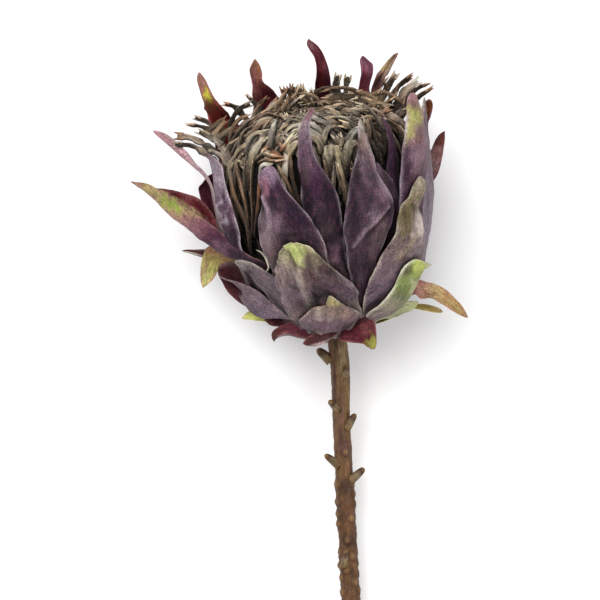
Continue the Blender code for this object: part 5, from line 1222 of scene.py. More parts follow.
    (1.6, "tan", "brown", 2, [(-10, 121.4, 1), (-14.6, 124, 3.5), (-19, 124.6, 4.5)]),
    (1.3, "brown", "grey", 1, [(-42.8, 44, 0.5), (-45.3, 58.7, 1.8), (-51.5, 74, 2.4), (-54, 88, 3)]),
    (1, "brown", "brown", 1, [(-43.4, 52, 0.5), (-45.6, 68, 2.2), (-48.8, 81, 2.8), (-50, 88, 2)]),
    (1.2, "brown", "olive", 1, [(-43.7, 47, 0.2), (-42, 61, 1.8), (-42.8, 77, 2.6), (-42, 90, 3)]),
    (1.1, "rust", "brown", 1, [(-41.5, 54, 0.2), (-39.7, 67, 1.6), (-38.6, 80, 2.2), (-38, 89, 2)]),
    (0.9, "brown", "brown", 1, [(-47.5, 56, 0.2), (-51, 66, 1.4), (-56.5, 80, 1.6), (-58, 90, 1.6)]),
    (1.1, "dark", "brown", 1, [(-17, 66, 0.4), (-20.5, 75.3, 1.4), (-22.6, 84, 2), (-23, 92, 2)]),
    (1, "brown", "olive", 1, [(-20, 68, 0.2), (-25, 80, 1.2), (-29.4, 88, 1.6)]),
    (2.1, "tan", "pale", 1, [(5.6, 70, 0.6), (3.6, 78, 1.8), (1.4, 86, 2.6), (0.2, 92, 3)]),
    (1.1, "brown", "tan", 1, [(9.6, 70, 0.2), (8.4, 80, 1.4), (7, 90, 2)]),
    (1.7, "brown", "tan", 2, [(2, 119.5, 1), (7, 123.4, 2.6), (12.4, 125, 3)]),
    (1.6, "tan", "brown", 3, [(13, 118.6, 1), (16.4, 122.4, 2.6), (20.5, 124.8, 3.2)]),
    (1.7, "brown", "tan", 2, [(22, 116, 1), (26, 120.6, 2.8), (29, 123, 3.4)]),
    (1.6, "dark", "brown", 2, [(29, 112, 1), (32.6, 116.4, 2.6), (34.6, 119.4, 3)]),
    (1.5, "tan", "tan", 2, [(8, 120, 0.6), (12, 121.6, 1.6), (17.4, 121.4, 1.2)]),
    (1.5, "brown", "grey", 2, [(17, 119, 0.6), (21, 119.6, 1.6), (25.6, 118, 1.2)]),
    (1, "brown", "tan", 1, [(-4.4, 74, 0.2), (-5, 82, 1.4), (-6.4, 92, 2)]),
]

# florets that stand off the dome: the same, with the course as x, y, w and share of the width
LONE_FLORETS = [
    (1.7, "grey", "grey", 2, [(-58, 88, 26, 0.9), (-66, 94.5, 28, 1), (-73, 98.2, 28, 0.8),
        (-81, 98.6, 28, 0.35)]),
    (1.7, "grey", "brown", 2, [(-58, 93, 18, 0.9), (-66, 98.5, 20, 1), (-73, 102, 20, 0.8),
        (-80, 103, 20, 0.35)]),
    (1.6, "grey", "tan", 2, [(-56, 101, 10, 0.9), (-63, 105.5, 12, 1), (-69, 108, 12, 0.8),
        (-74, 108.5, 12, 0.35)]),
    (1.6, "grey", "grey", 2, [(-52, 103, 4, 0.9), (-60, 107.5, 6, 1), (-66, 110.6, 6, 0.8),
        (-71, 112.3, 6, 0.35)]),
    (1.5, "brown", "orange", 2, [(-44, 110, 2, 0.9), (-49, 115.5, 3, 1), (-52, 118, 3, 0.8),
        (-56, 119, 3, 0.35)]),
    (1.6, "grey", "grey", 2, [(-54, 104, 14, 0.9), (-52, 112, 16, 1), (-48.5, 116.8, 15, 0.8),
        (-43.5, 119, 14, 0.35)]),
    (1.4, "grey", "grey", 2, [(-37, 112, -2, 0.9), (-40, 118, -2, 1), (-45, 123.3, -2, 0.35)]),
    (1.4, "brown", "orange", 2, [(-38, 113, 4, 0.9), (-38.5, 118.5, 4, 1), (-35, 122, 4, 0.35)]),
    (1.6, "tan", "olive", 3, [(-3, 120, -2, 0.9), (-1, 127, -4, 1), (0.5, 133, -5, 0.35)]),
    (1.5, "tan", "olive", 2, [(5, 119, -2, 0.9), (4.5, 127, -4, 1), (5.5, 132.6, -5, 0.35)]),
    (1.6, "grey", "brown", 2, [(14, 118, 0, 0.9), (20, 126, -3, 1), (24, 131.4, -5, 0.35)]),
    (1.6, "dark", "grey", 2, [(20, 117, 4, 0.9), (25, 127, 0, 1), (29.5, 134, -3, 0.35)]),
    (1.7, "brown", "orange", 3, [(24, 116, 8, 0.9), (30.5, 127.5, 4, 1), (37, 132.6, 2, 0.35)]),
    (1.7, "grey", "wool", 2, [(26, 113, 14, 0.9), (33.5, 124.5, 11, 1), (40.6, 130.4, 9, 0.35)]),
    (1.6, "dark", "brown", 2, [(29, 114, 10, 0.9), (39, 126, 7, 1), (45.6, 129, 6, 0.35)]),
    (1.6, "brown", "orange", 3, [(30, 110, 18, 0.9), (39.5, 121.5, 16, 1), (47, 126.6, 15, 0.35)]),
    (2.3, "pale", "pale", 2, [(-4, 82, 70, 0.6), (-4.6, 91, 72, 0.9), (-4.2, 96.4, 71, 1),
        (-2, 97.6, 66, 0.8)]),
    (2.2, "olive", "pale", 2, [(4.6, 76, 68, 0.5), (2.6, 86, 71, 0.9), (0.4, 95, 72, 1),
        (-0.4, 98, 68, 0.8)]),
    (2.2, "pale", "orange", 2, [(5.5, 83, 68, 0.5), (5.2, 92, 71, 0.9), (6.4, 98.4, 71, 1),
        (9.6, 99.6, 66, 0.8)]),
    (2.1, "olive", "grey", 2, [(-25, 80, 64, 0.7), (-25, 90, 66, 1), (-22.4, 97, 66, 1),
        (-19.6, 99.6, 62, 0.6)]),
    (2.1, "olive", "pale", 3, [(-44, 76, 52, 0.9), (-43.2, 88, 55, 1), (-40.6, 96.6, 56, 1),
        (-35.5, 102.5, 52, 0.6)]),
    (2.2, "olive", "grey", 2, [(-54, 78, 42, 0.9), (-53.2, 87.5, 46, 1), (-49, 91.4, 48, 1),
        (-45, 88, 49, 0.6)]),
]


def floret_place(azimuth, radius, height):
    """A place on a floret's course, which heads for the crater off the middle."""
    place = polar(azimuth, radius, height)
    place[:2] += CRATER * max(0.0, 1.0 - radius / FLORET_REACH)
    return place


def on_dome(x, y, lift):
    """The place on the florets' dome, or lift off it, that shows at x, y."""
    line = seen(x, y, DOME_DEPTHS)
    heart = DOME_HEART[2]
    radius, height = np.hypot(line[:, 0], line[:, 1]), line[:, 2] - heart
    side = np.array([(math.atan2(h - heart, r), math.hypot(h - heart, r)) for r, h in DOME_SIDE])
    clear = np.hypot(radius, height) - np.interp(np.arctan2(height, radius), side[:, 0], side[:, 1]) - lift
    hits = np.flatnonzero(clear < 0)
    return line[hits[0]] if len(hits) else line[np.argmin(clear)]


def dome_height(radius):
    """How high the top of the dome is at a radius."""
    crown = [(r, h) for r, h in reversed(DOME_SIDE) if h > CROWN_FROM]
    return float(np.interp(radius, *zip(*crown)))


def tones_of(azimuth, radius, draw):
    """The colours of a floret from root to tip, paler and woollier at the front of the dome."""
    front = max(0.0, math.cos(math.radians(azimuth - FRONT_AZIMUTH))) ** 2
    front = front * (1.0 if radius < FRONT_RADIUS else 0.25)
    main = draw.choice(["olive", "brown", "brown", "tan", "dark"])
    body = blend(TONES["grey"], TONES[main], draw.random())
    body = blend(body, TONES["wool"], front * draw.uniform(0.1, 0.7))
    end = draw.choice(["olive", "tan", "grey", "orange"])
    tip = blend(body, TONES[end], 0.5 * draw.random())
    return body * draw.uniform(0.75, 1.3) * (1.25 - 0.35 * front), tip * (1.3 - 0.3 * front)


def add_floret(form, rows, half, thick, tones, seed, points=2, point_length=2.6, stations=FLORET_STATIONS):
    """One floret: a flat grooved strand that ends in a few fine points."""
    draw = random.Random(seed)
    body, tip = tones
    places, share, along = smooth_course(rows, stations)
    down = distances(places)[-1] * along[:, None]
    run = unit(np.gradient(places, axis=0))
    out = unit(places - DOME_HEART)
    out = unit(out - (out * run).sum(1, keepdims=True) * run)
    over = np.cross(run, out)
    roll = draw.uniform(-MOST_ROLL, MOST_ROLL) + draw.uniform(-MOST_ROLL, MOST_ROLL) * along[:, None]
    over, out = over * np.cos(roll) + out * np.sin(roll), out * np.cos(roll) - over * np.sin(roll)
    angle = circle(FLORET_FACETS)
    lumps = 1 + LUMPS[0] * ripples(down, LUMPS[1], seed * 3 + 1)
    close = np.clip((1 - along) * down[-1] / 1.6, 0, 1) ** 0.5
    wide = half * share * lumps * (0.35 + 0.65 * close)
    twist = TWIST[0] * ripples(down, TWIST[1], seed)[:, None] + draw.uniform(0, 6)
    groove = 1 + GROOVES[0] * np.cos(GROOVES[1] * angle + twist)
    rough = 1 + ROUGHNESS[0] * ripples(grid(down, angle * 1.5), ROUGHNESS[1], seed * 7)
    section = wide[:, None] * groove * rough
    skin = places[:, None] + over[:, None] * (section * np.cos(angle))[..., None]
    skin = skin + out[:, None] * (section * thick / half * np.sin(angle))[..., None]

    # painted shade at the root of each floret, deep among the others
    root = [(0.0, GAP_SHADE), (0.2, blend(UMBER, GAP_SHADE, 0.6)), (0.5, blend(UMBER, body, 0.55))]
    colours = gradient([*root, (0.8, body), (1.0, tip)], along)[:, None]
    blotches = BLOTCHES[0] * ripples(grid(down, angle), BLOTCHES[1], seed * 13)
    streaks = STREAKS[0] * ripples(grid(down, angle * 2.2), STREAKS[1], seed * 11)
    # tone along a strand: its own streaks and blotches, with painted light on the ridges of its grooves and
    # painted shade on its underside
    height = (groove - 1 + GROOVES[0]) / (2 * GROOVES[0])
    shade = 0.56 + 0.5 * np.clip(height, 0, 1) + streaks + blotches
    shade = shade * (0.12 + 0.98 * np.clip(0.85 * np.sin(angle) + 0.25, 0, 1))
    colours = colours * shade[..., None]
    page = on_page(skin)
    for *spot, tone, strength in DOME_SPOTS:
        share = dab(page, *spot) * (1 if tone == "shadow_gap" else PALE_SPOTS)
        colours = blend(colours, TONES[tone], strength * share)
    grains = grid(down, angle * 1.4, seed * 5.0)
    form.add(skin, colours, grains, grid_faces(stations, FLORET_FACETS, closed=True))
    for end in (0, -1):
        hub = np.stack([np.broadcast_to(places[end], skin[end].shape), skin[end]])
        caps = grid_faces(2, FLORET_FACETS, closed=True, flip=end == -1)
        form.add(hub, colours[[end, end]], grains[[end, end]], caps)

    steps = np.linspace(0, 1, 7)[:, None]
    for point in range(points):
        aside = (point - (points - 1) / 2) / max(points - 1, 1) * 2
        reach = point_length * draw.uniform(0.45, 1.1)
        lean = run[-1] + over[-1] * (0.14 * aside + draw.uniform(-0.12, 0.12))
        lean = unit(lean + out[-1] * draw.uniform(-0.15, 0.25))
        line = places[-3] + over[-3] * aside * wide[-3] * 0.62 + steps * (places[-1] - places[-3])
        line = line + lean * reach * steps**1.3 + over[-1] * aside * 0.25 * half * steps
        size = half * (0.62 if points > 1 else 0.85) / (1 + 0.1 * points) * (1 - steps[:, 0]) ** 0.6 + 0.08
        tints = tip * draw.uniform(0.75, 1.3) * (1 + 0.2 * steps[:, None])
        add_tube(form, line, out[-1], size, size * 0.7, tints, (seed * 7 + point) % GRAIN_SEEDS, 6)


def ring_florets(forms, draw, numbers):
    """The rings of strands round the dome, each swirled, bent and shortened by chance."""
    for ring, (count, half, thick, stray, course) in enumerate(FLORET_RINGS):
        outer = ring < OUTER_RINGS
        for index in range(count):
            azimuth = 360.0 * (index + draw.uniform(-0.45, 0.45)) / count
            swirl = draw.gauss(SWIRL[0], SWIRL[1] + SWIRL[2] * ring)
            swirl = max(SWIRL_LIMITS[0], min(SWIRL_LIMITS[1], swirl))
            reach, lift = draw.uniform(*RING_REACH), RING_LIFT * draw.random() ** 1.5
            early = draw.uniform(*RING_EARLY)
            rows = []
            for step, (radius, height) in enumerate(course):
                share = step / (len(course) - 1)
                arch = max(0.0, math.sin(math.pi * min(1.0, max(0.0, share - 0.3 + early) / 0.7)))
                radius = radius * (1 + reach * max(0.0, share - 0.4)) + draw.uniform(-stray, stray) * share
                height = height + draw.uniform(-stray, stray) * share + lift * arch
                thin = FLORET_ROOT if step == 0 else (0.7 if share < 0.5 and outer else 1.0) - 0.2 * share**3
                rows.append((*floret_place(azimuth + swirl * share**2, radius, height), thin))
            scale = draw.uniform(*RING_SIZES)
            tones = tones_of(azimuth, course[-1][0], draw)
            points = draw.choice([1, 2, 2, 3, 3])
            form = forms["florets_outer" if outer else "florets_crown"]
            add_floret(form, rows, half * scale, thick * scale, tones, next(numbers), points)


def over_dome(azimuth, radius, heading, reach, shares, lift, width):
    """Rows of a strand over the top of the dome, its lift and width worked out from its shares."""
    rows = []
    foot = floret_place(azimuth, radius, 0)
    for share in shares:
        x, y = foot[0] + reach * share * math.cos(heading), foot[1] + reach * share * math.sin(heading)
        rows.append((x, y, dome_height(math.hypot(x, y)) + lift(share), width(share)))
    return rows


def short_florets(form, draw, numbers):
    """Short strands of the crown that point inwards."""
    for _ in range(SHORT_FLORETS):
        azimuth, radius = draw.uniform(0, 360), CROWN_RADIUS * math.sqrt(draw.uniform(0.03, 1))
        heading = math.radians(azimuth + 180 + draw.gauss(0, 42))
        reach, rise = draw.uniform(*SHORT_REACH), draw.uniform(*SHORT_RISE)
        rows = over_dome(azimuth, radius, heading, reach, (0.0, 0.35, 0.7, 1.0),
                         lambda s: 1.6 * math.sin(math.pi * s) + rise * s**2 - (1 - s),
                         lambda s: 0.8 + 0.15 * s)
        tones = tones_of(azimuth, radius, draw)
        half, points = draw.uniform(1.1, 1.7), draw.choice([1, 2, 3])
        add_floret(form, rows, half, 0.9, tones, next(numbers), points, stations=10)


def fluff(form, draw, numbers):
    """Tiny fluffy points, most of them and the palest at the front of the dome."""
    for index in range(FLUFF):
        front = index % 3 > 0
        if front:
            azimuth, radius = draw.gauss(-92, 38), draw.uniform(4, 30)
        else:
            azimuth, radius = draw.uniform(0, 360), 40 * draw.random() ** 0.5
        reach, heading = draw.uniform(*FLUFF_REACH), draw.uniform(0, 2 * math.pi)
        lift, rise = draw.uniform(*FLUFF_LIFT), draw.uniform(*FLUFF_RISE)
        rows = over_dome(azimuth, radius, heading, reach, (0.0, 0.5, 1.0),
                         lambda s: lift + rise * s + 0.6 * math.sin(math.pi * s), lambda s: 1.0)
        tone = draw.choice(FRONT_FLUFF if front else BACK_FLUFF)
        places, _, along = smooth_course(rows, 6)
        size = draw.uniform(0.22, 0.5) * np.clip(1 - along, 0.12, 1) ** 0.5
        tints = TONES[tone] * draw.uniform(0.5, 1.0) * (0.6 + 0.4 * along[:, None, None])
        seed = next(numbers) % GRAIN_SEEDS
        add_tube(form, places, unit(places - DOME_HEART), size, size * 0.7, tints, seed, 5)


def told_apart(form, numbers):
    """The florets of the front view: those on the dome, then those that stand off it."""
    for half, body, tip, points, course in NAMED_FLORETS:
        start, after = (on_dome(*place) for place in course[:2])
        inward = unit(DOME_HEART + np.array([0, 0, 22.0]) - start)
        rows = [(*(start + inward * 5 - 0.4 * (after - start)), 0.6)]
        rows += [(*on_dome(*place), 1.0) for place in course[:-1]] + [(*on_dome(*course[-1]), 0.9)]
        tones = (TONES[body], TONES[tip])
        add_floret(form, rows, half, half * 0.62, tones, next(numbers), points, 1.1 + half)
    for half, body, tip, points, course in LONE_FLORETS:
        rows = [(*seen(x, y, w), max(share, LONE_LEAST)) for x, y, w, share in course]
        tones = (TONES[body], TONES[tip])
        add_floret(form, rows, half * 1.15, half * 0.7, tones, next(numbers), points, 2.2)


def make_florets(paint):
    forms = {f"florets_{name}": Form() for name in ("outer", "crown", "front", "fluff")}
    draw, numbers = random.Random(SEED), itertools.count(1)
    ring_florets(forms, draw, numbers)
    short_florets(forms["florets_crown"], draw, numbers)
    fluff(forms["florets_fluff"], draw, numbers)
    told_apart(forms["florets_front"], numbers)
    for name, form in forms.items():
        form.make(name, paint, "florets", "floret")


# colours of the stem
BARK = ink((118, 92, 60))
BARK_LOW = ink((104, 70, 44))
BARK_DARK = ink((66, 46, 34))
BARK_WINE = ink((98, 66, 62))
PITH = ink((196, 172, 132))
STUB_TINT = ink((124, 108, 84))
SCAR_TINT = ink((150, 132, 102))

# the stem's height in the bloom and its straight stretch, then x y w and radius as a share of the stem's
STEM_TOP = 5.5
STEM_STRAIGHT = 13.0
STEM_COURSE = [
    (2.2, -40, -6.5, 0.92), (5, -90, -6, 0.88), (7.5, -150, -3.5, 0.9),
    (9.5, -230, 0, 0.96), (10.5, -STEM_LENGTH, 2, 1.04)]
STEM_RINGS = 360
STEM_SIDES = 48
END_RINGS = 8
STUB_RINGS = 14
STUB_SIDES = 14

# a stub's thickness: share of its length, share of its radius at the foot
STUB_PROFILE = [(0, 1.3), (0.35, 1.15), (0.75, 0.95), (0.95, 0.7), (1.0, 0.4)]
STUB_FURROW = 0.25

# how far down the lower bark starts, and over how much it sets in
LOWER_BARK = (55, 30)

# heights of the bark's relief: furrows, knots at the top and more of them below, grain and warts
FURROWS = 0.13
KNOTS = (0.05, 0.3)
GRAIN = 0.06
WARTS = 1.1

# leaf scars and stubs on the stem: foot x y w, tip x y w, radius at the foot
STEM_STUBS = [
    ((-3, -9.6, -2.5), (-9.8, -3.8, -1.5), 2.8), ((4.0, -17, 0.0), (5.5, -12, 3.0), 1.8),
    ((0.5, -34, -3.0), (-3.6, -29.5, 0.5), 2.2), ((5.0, -43, -4.0), (9.2, -36.0, -2.0), 2.3),
    ((1.0, -62, -4.5), (-6.0, -56.5, -3.0), 2.3), ((7.0, -69, -4.0), (13.6, -63.2, -2.5), 2.4),
    ((4.0, -112, -1.5), (4.5, -104, 2.0), 2.0), ((9.5, -170, -3.0), (14.5, -161, -1.5), 2.2),
    ((6.0, -215, -0.5), (1.5, -207, 2.5), 2.0)]

# warts: half width and half height of those in the front view and of those on the far side,
# the sum of both places across and how much higher the far one is
WART_SIZE = (1.7, 2.1)
FAR_WART_SIZE = (1.9, 2.1)
FAR_WART_PLACE = (13, 2.5)

# warts in the front view: x, y. Each has another on the far side of the stem.
STEM_WARTS = [
    (0.5, -71), (9.2, -76), (0.2, -80), (0.2, -86), (9.6, -81), (0.8, -91), (11, -95.5), (1.6, -105),
    (2, -112), (11.5, -110), (2.4, -118), (11.8, -116), (6.8, -88), (5.2, -99), (7.5, -107), (5, -114),
    (8.5, -120), (3, -125), (11.6, -124), (7.2, -70.5), (4.2, -55), (3, -131), (12, -134), (7.5, -139),
    (3.6, -146), (12.2, -149)]

# marks on the stem in the front view: x, y, half width, half height, colour, strength
STEM_MARKS = [
    (3.8, -73, 2.6, 4, BARK_DARK, 0.9), (6, -100, 4, 3, BARK_DARK, 0.8), (3.6, -53, 4, 4.5, BARK_WINE, 0.8),
    (-1.2, -22, 1.3, 15, BARK_WINE * 0.6, 0.8), (3, -84, 1.4, 6, BARK_DARK, 0.5),
    (7.4, -64, 1, 4, BARK_WINE, 0.5), (6.4, -27, 1, 10, BARK * 1.35, 0.5),
    (1.8, -40, 1.2, 9, BARK_WINE, 0.4), (2.6, -9, 2.4, 9, SCAR_TINT, 0.6)]


def make_stem(paint):
    """The stem along its course, with furrowed bark, warts, marks, stubs and both cut ends."""
    seat = RECEPTACLE_FOOT - SEAT_GAP
    course = [(0.0, 0.0, STEM_TOP, 1.0), (0.0, 0.0, seat - STEM_STRAIGHT, 1.0)]
    course += [(*seen(x, y, w), share) for x, y, w, share in STEM_COURSE]
    places, share, along = smooth_course(course, STEM_RINGS)
    run = unit(np.gradient(places, axis=0))
    right = unit(np.array([1.0, 0.0, 0.0]) - run[:, :1] * run)
    angle = circle(STEM_SIDES)[:, None]
    around = right[:, None] * np.cos(angle) + np.cross(right, run)[:, None] * np.sin(angle)
    down = distances(places)[-1] * along[:, None]
    skin = grid(down, 5 * np.cos(angle[:, 0]), 5 * np.sin(angle[:, 0]))
    plain = places[:, None] + (STEM_RADIUS * share)[:, None, None] * around
    page, near = on_page(plain), (around @ BLOOM)[..., 2] > -0.2
    lower = np.clip((down - LOWER_BARK[0]) / LOWER_BARK[1], 0, 1)
    furrows, knots = ripples(skin, (70, 3.0, 3.0), 71), ripples(skin, (8, 5, 5), 72)
    rough, pits = ripples(skin, (2.6, 1.8, 1.8), 73), ripples(skin, (14, 5, 5), 74)
    warts = np.zeros(rough.shape)
    for x, y in STEM_WARTS:
        far = (FAR_WART_PLACE[0] - x, FAR_WART_PLACE[1] + y)
        warts = np.maximum(warts, dab(page, x, y, *WART_SIZE) * near)
        warts = np.maximum(warts, dab(page, *far, *FAR_WART_SIZE) * ~near)
    relief = FURROWS * furrows + (KNOTS[0] + KNOTS[1] * lower) * np.clip(knots - 0.4, 0, 2)
    relief = relief + GRAIN * rough + WARTS * warts
    body = plain + relief[..., None] * around

    colours = blend(np.zeros(body.shape) + BARK, BARK_LOW, 0.7 * lower)
    colours = blend(colours, BARK_WINE, 0.45 * np.clip(furrows, 0, 1) * np.clip(1.2 - lower, 0.3, 1))
    hollow = 0.45 * np.clip(-furrows - 0.3, 0, 1) + 0.5 * np.clip(pits - 0.9, 0, 1)
    colours = blend(colours, BARK_DARK, hollow)
    for *mark, colour, strength in STEM_MARKS:
        colours = blend(colours, colour, strength * dab(page, *mark, power=3) * near)
    colours = blend(colours, BARK * 1.4, np.clip(warts - 0.45, 0, 1))
    colours = blend(colours, BARK_DARK, 0.6 * np.exp(-(((warts - 0.3) / 0.15) ** 2)))
    colours = colours * (1 + 0.10 * knots + 0.08 * rough)[..., None]
    colours = blend(colours, BARK_DARK, 0.25 * np.clip((7 - down) / 4, 0, 1))
    form = Form()
    form.add(body, colours, skin, grid_faces(STEM_RINGS, STEM_SIDES, closed=True))
    for end, way in ((0, -1), (-1, 1)):
        steps = np.linspace(1, 0, END_RINGS)[:, None, None]
        disc = places[end] + (body[end] - places[end]) * steps + run[end] * way * 0.25 * (1 - steps**2)
        reach = np.linalg.norm(disc - places[end], axis=-1)
        tone = blend(np.zeros(disc.shape) + PITH, BARK, 0.3 + 0.2 * np.cos(reach * 5))
        tone = blend(tone, BARK_DARK, np.exp(-((STEM_RADIUS - reach) / 0.5)))
        form.add(disc, tone, disc, grid_faces(END_RINGS, STEM_SIDES, closed=True, flip=end == 0))
    for number, (foot, point, radius) in enumerate(STEM_STUBS):
        add_stub(form, seen(*foot), seen(*point), radius, number)
    form.make("stem_bark", paint, "stem", "stem")


def add_stub(form, foot, point, radius, number):
    """A leaf's dry stub: a short flattened cone with a paler scar at its end."""
    along = np.linspace(0, 1, STUB_RINGS)[:, None]
    heading = unit(point - foot)
    bend = np.cross(heading, [0, 0, 1.0])
    line = foot + (point - foot) * along + bend * 0.5 * np.sin(math.pi * along)
    sizes = radius * np.interp(along[:, 0], *zip(*STUB_PROFILE))
    stops = [(0, BARK), (0.5, STUB_TINT), (0.8, BARK_DARK * 1.3), (1, BARK * 1.3)]
    turn = np.linspace(0, 6.28, STUB_SIDES)
    rough = ripples(grid(3 * np.cos(turn), 3 * np.sin(turn), along * 9), (3, 3, 3), 90 + number)
    tints = gradient(stops, along) * (1 + 0.15 * rough)[..., None]
    outward = np.cross(heading, bend)
    add_tube(form, line, outward, sizes, sizes * 0.8, tints, number, STUB_SIDES, STUB_FURROW)


# the fine hairs of the bracts and the down of the florets, and how each tints the sheen
HAIR = (178, 160, 174)
DOWN = (196, 184, 162)
HAIR_SHEEN = (0.9, 0.84, 0.9)
DOWN_SHEEN = (0.95, 0.9, 0.82)


class Paint:
    """A material that shades the tints of the vertices with noise over their grain."""

    def __init__(self, name, roughness, gloss, sheen=0.0, sheen_tint=(1, 1, 1), coat=0.0):
        self.material = bpy.data.materials.new(name)
        self.material.use_nodes = True
        self.surface = self.material.node_tree.nodes["Principled BSDF"]
        settings = {"Roughness": roughness, "Specular IOR Level": gloss, "Sheen Weight": sheen,
                    "Sheen Roughness": 0.5, "Sheen Tint": (*sheen_tint, 1), "Coat Weight": coat}
        for socket, value in settings.items():
            self.surface.inputs[socket].default_value = value

    def link(self, source, socket):
        self.material.node_tree.links.new(source, socket)

    def node(self, kind, inputs, output=0, **settings):
        """A new node's output, its inputs linked or set to plain values."""
        node = self.material.node_tree.nodes.new("ShaderNode" + kind)
        for name, value in settings.items():
            setattr(node, name, value)
        for socket, value in inputs.items():
            if isinstance(value, bpy.types.NodeSocket):
                self.link(value, node.inputs[socket])
            else:
                node.inputs[socket].default_value = value
        return node.outputs[output]

    def attribute(self, name, output):
        return self.node("Attribute", {}, output, attribute_name=name)

    def noise(self, vector, detail, stretch=(1, 1, 1), scale=1.0):
        """A noise over a vector that is stretched first."""
        vector = self.node("Mapping", {"Vector": vector, "Scale": stretch})
        return self.node("TexNoise", {"Vector": vector, "Scale": scale, "Detail": detail, "Roughness": 0.6})

    def ramp(self, source, low, high, low_value, high_value):
        """Turn a noise into a factor between two values."""
        return self.node("MapRange", {"Value": source, "From Min": low, "From Max": high,
                                      "To Min": low_value, "To Max": high_value})

    def times(self, colour, source, *ends):
        """A colour made darker or lighter by a noise."""
        return self.node("VectorMath", {0: colour, "Scale": self.ramp(source, *ends)}, operation="SCALE")

    def mixed(self, factor, first, second):
        return self.node("Mix", {0: factor, 6: first, 7: second}, 2, data_type="RGBA")

    def greenness(self, tint):
        """How green a tint is, its green over its red."""
        green = self.node("SeparateColor", {0: tint}, 1)
        red = green.node.outputs[0]
        return self.node("Math", {0: green, 1: red}, operation="DIVIDE")

    def added(self, first, second, share):
        return self.node("Math", {0: second, 1: share, 2: first}, operation="MULTIPLY_ADD")

    def finish(self, colour, height=None, distance=0.0, strength=0.0):
        """Link the colour, and relief where there is any, and give the material."""
        self.link(colour, self.surface.inputs["Base Color"])
        if height is not None:
            normal = self.node("Bump", {"Distance": distance, "Strength": strength, "Height": height})
            self.link(normal, self.surface.inputs["Normal"])
        return self.material


def bract_paint():
    """Velvety dried bract: painted tints, mottled and grained, with fine pale hairs."""
    paint = Paint("bract_velvet", 0.7, 0.22, sheen=0.03, sheen_tint=HAIR_SHEEN)
    tint, grain = paint.attribute("tint", "Color"), paint.attribute("grain", "Vector")
    veins = paint.noise(grain, 3.0, (0.10, 1.3, 1.0))
    mottle = paint.noise(grain, 4.0, (0.45, 0.6, 1.0))
    hairs = paint.noise(grain, 3.0, (1.15, 1.5, 1.0))
    colour = paint.times(tint, veins, 0.3, 0.7, 0.78, 1.2)
    colour = paint.times(colour, mottle, 0.3, 0.7, 0.8, 1.2)
    haired = paint.times(colour, hairs, 0.32, 0.68, 0.5, 1.44)
    calm = paint.ramp(paint.greenness(tint), 0.7, 1.0, 0.0, 0.6)
    colour = paint.mixed(calm, haired, colour)
    colour = paint.mixed(paint.ramp(hairs, 0.58, 0.8, 0.0, 0.10), colour, (*ink(HAIR), 1))
    height = paint.added(paint.added(veins, mottle, 0.8), hairs, 0.8)
    return paint.finish(colour, height, 0.0006, 0.55)


def floret_paint(name, fluffy):
    """Dry, hairy floret: fibres along it and pale fluff."""
    paint = Paint(name, 0.88, 0.25, sheen=0.08, sheen_tint=DOWN_SHEEN)
    tint, grain = paint.attribute("tint", "Color"), paint.attribute("grain", "Vector")
    fibres = paint.noise(grain, 4.0, (0.2, 1.5, 1.0))
    fluffs = paint.noise(grain, 3.0, (1.0, 1.3, 1.0))
    colour = paint.times(tint, fibres, 0.3, 0.7, 0.5, 1.42)
    colour = paint.times(colour, fluffs, 0.3, 0.7, 0.8, 1.2)
    colour = paint.mixed(paint.ramp(fluffs, 0.52, 0.75, 0.0, fluffy), colour, (*ink(DOWN), 1))
    return paint.finish(colour, paint.added(fibres, fluffs, 0.6), 0.001, 0.9)


def bark_paint():
    """Thin dry bark: long fibres, small pits and a slight sheen."""
    paint = Paint("stem_bark", 0.55, 0.3, coat=0.04)
    tint, grain = paint.attribute("tint", "Color"), paint.attribute("grain", "Vector")
    fibres = paint.noise(grain, 4.0, (0.12, 1.6, 1.6))
    pits = paint.noise(grain, 3.0, (1.0, 1.6, 1.6))
    colour = paint.times(tint, fibres, 0.3, 0.7, 0.72, 1.25)
    colour = paint.times(colour, pits, 0.35, 0.6, 0.75, 1.1)
    return paint.finish(colour, paint.added(fibres, pits, 0.8), 0.0007, 0.7)


def floor_paint():
    """Pale floor, a trace cloudy."""
    paint = Paint("pale_floor", 0.9, 0.2)
    place = paint.node("TexCoord", {}, "Object")
    cloud = paint.noise(place, 2.0, scale=6.0)
    pale = paint.node("RGB", {})
    pale.default_value = FLOOR_TONE
    return paint.finish(paint.times(pale, cloud, 0.3, 0.7, 0.985, 1.0))


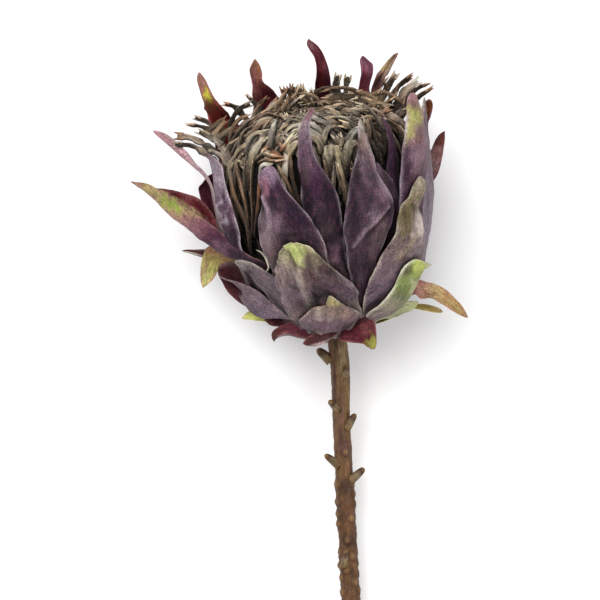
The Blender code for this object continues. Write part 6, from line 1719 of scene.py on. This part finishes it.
def area_light(name, place, size, power):
    """A round lamp that shines on the bloom."""
    light = bpy.data.lights.new(name, "AREA")
    light.shape = "DISK"
    light.size = size
    light.energy = power
    lamp = bpy.data.objects.new(name, light)
    lamp.location = place
    lamp.rotation_euler = (Vector(LAMP_AIM) - Vector(place)).to_track_quat("-Z", "Y").to_euler()
    bpy.context.scene.collection.objects.link(lamp)


def make_studio():
    bpy.ops.mesh.primitive_grid_add(x_subdivisions=8, y_subdivisions=8, size=FLOOR_SIZE, location=(0, 0, 0))
    floor = bpy.context.object
    floor.name = "floor"
    floor.data.materials.append(floor_paint())
    backdrop = bpy.data.worlds.new("studio")
    backdrop.use_nodes = True
    surface = backdrop.node_tree.nodes["Background"]
    surface.inputs["Color"].default_value = (1, 1, 1, 1)
    surface.inputs["Strength"].default_value = BACKDROP_STRENGTH
    bpy.context.scene.world = backdrop
    for lamp in LAMPS:
        area_light(*lamp)


def make_camera():
    lens = bpy.data.cameras.new("camera")
    lens.sensor_width = SENSOR_WIDTH
    lens.lens = SENSOR_WIDTH * EYE_DISTANCE / PAGE_WIDTH
    camera = bpy.data.objects.new("camera", lens)
    base = Matrix.Translation(Vector(HOME) * MM) @ Matrix.Rotation(PITCH, 4, "X")
    camera.matrix_world = base @ Matrix.Translation(Vector((*EYE_CENTRE, EYE_DISTANCE)) * MM)
    bpy.context.scene.collection.objects.link(camera)
    bpy.context.scene.camera = camera


def main():
    make_camera()
    make_studio()
    bract = bract_paint()
    make_bracts(bract)
    side = [(cup_radius(height) - RECEPTACLE_INSET, height) for height in RECEPTACLE_HEIGHTS]
    profile = [*RECEPTACLE_CROWN, *side, *RECEPTACLE_NECK]
    turned("receptacle", profile, ink(WINE) * RECEPTACLE_SHADE, bract, "bracts", "bract")
    floret = floret_paint("floret_fibre", 0.3)
    dark = floret_paint("floret_dark", 0.03)
    # the core of the florets is tinted as painted shade
    turned("floret_core", FLORET_CORE, GAP_SHADE * CORE_SHADE, dark, "florets", "floret")
    make_florets(floret)
    make_stem(bark_paint())
    bpy.context.scene.view_settings.view_transform = "Standard"
    bpy.context.scene.view_settings.look = "Medium High Contrast"


main()
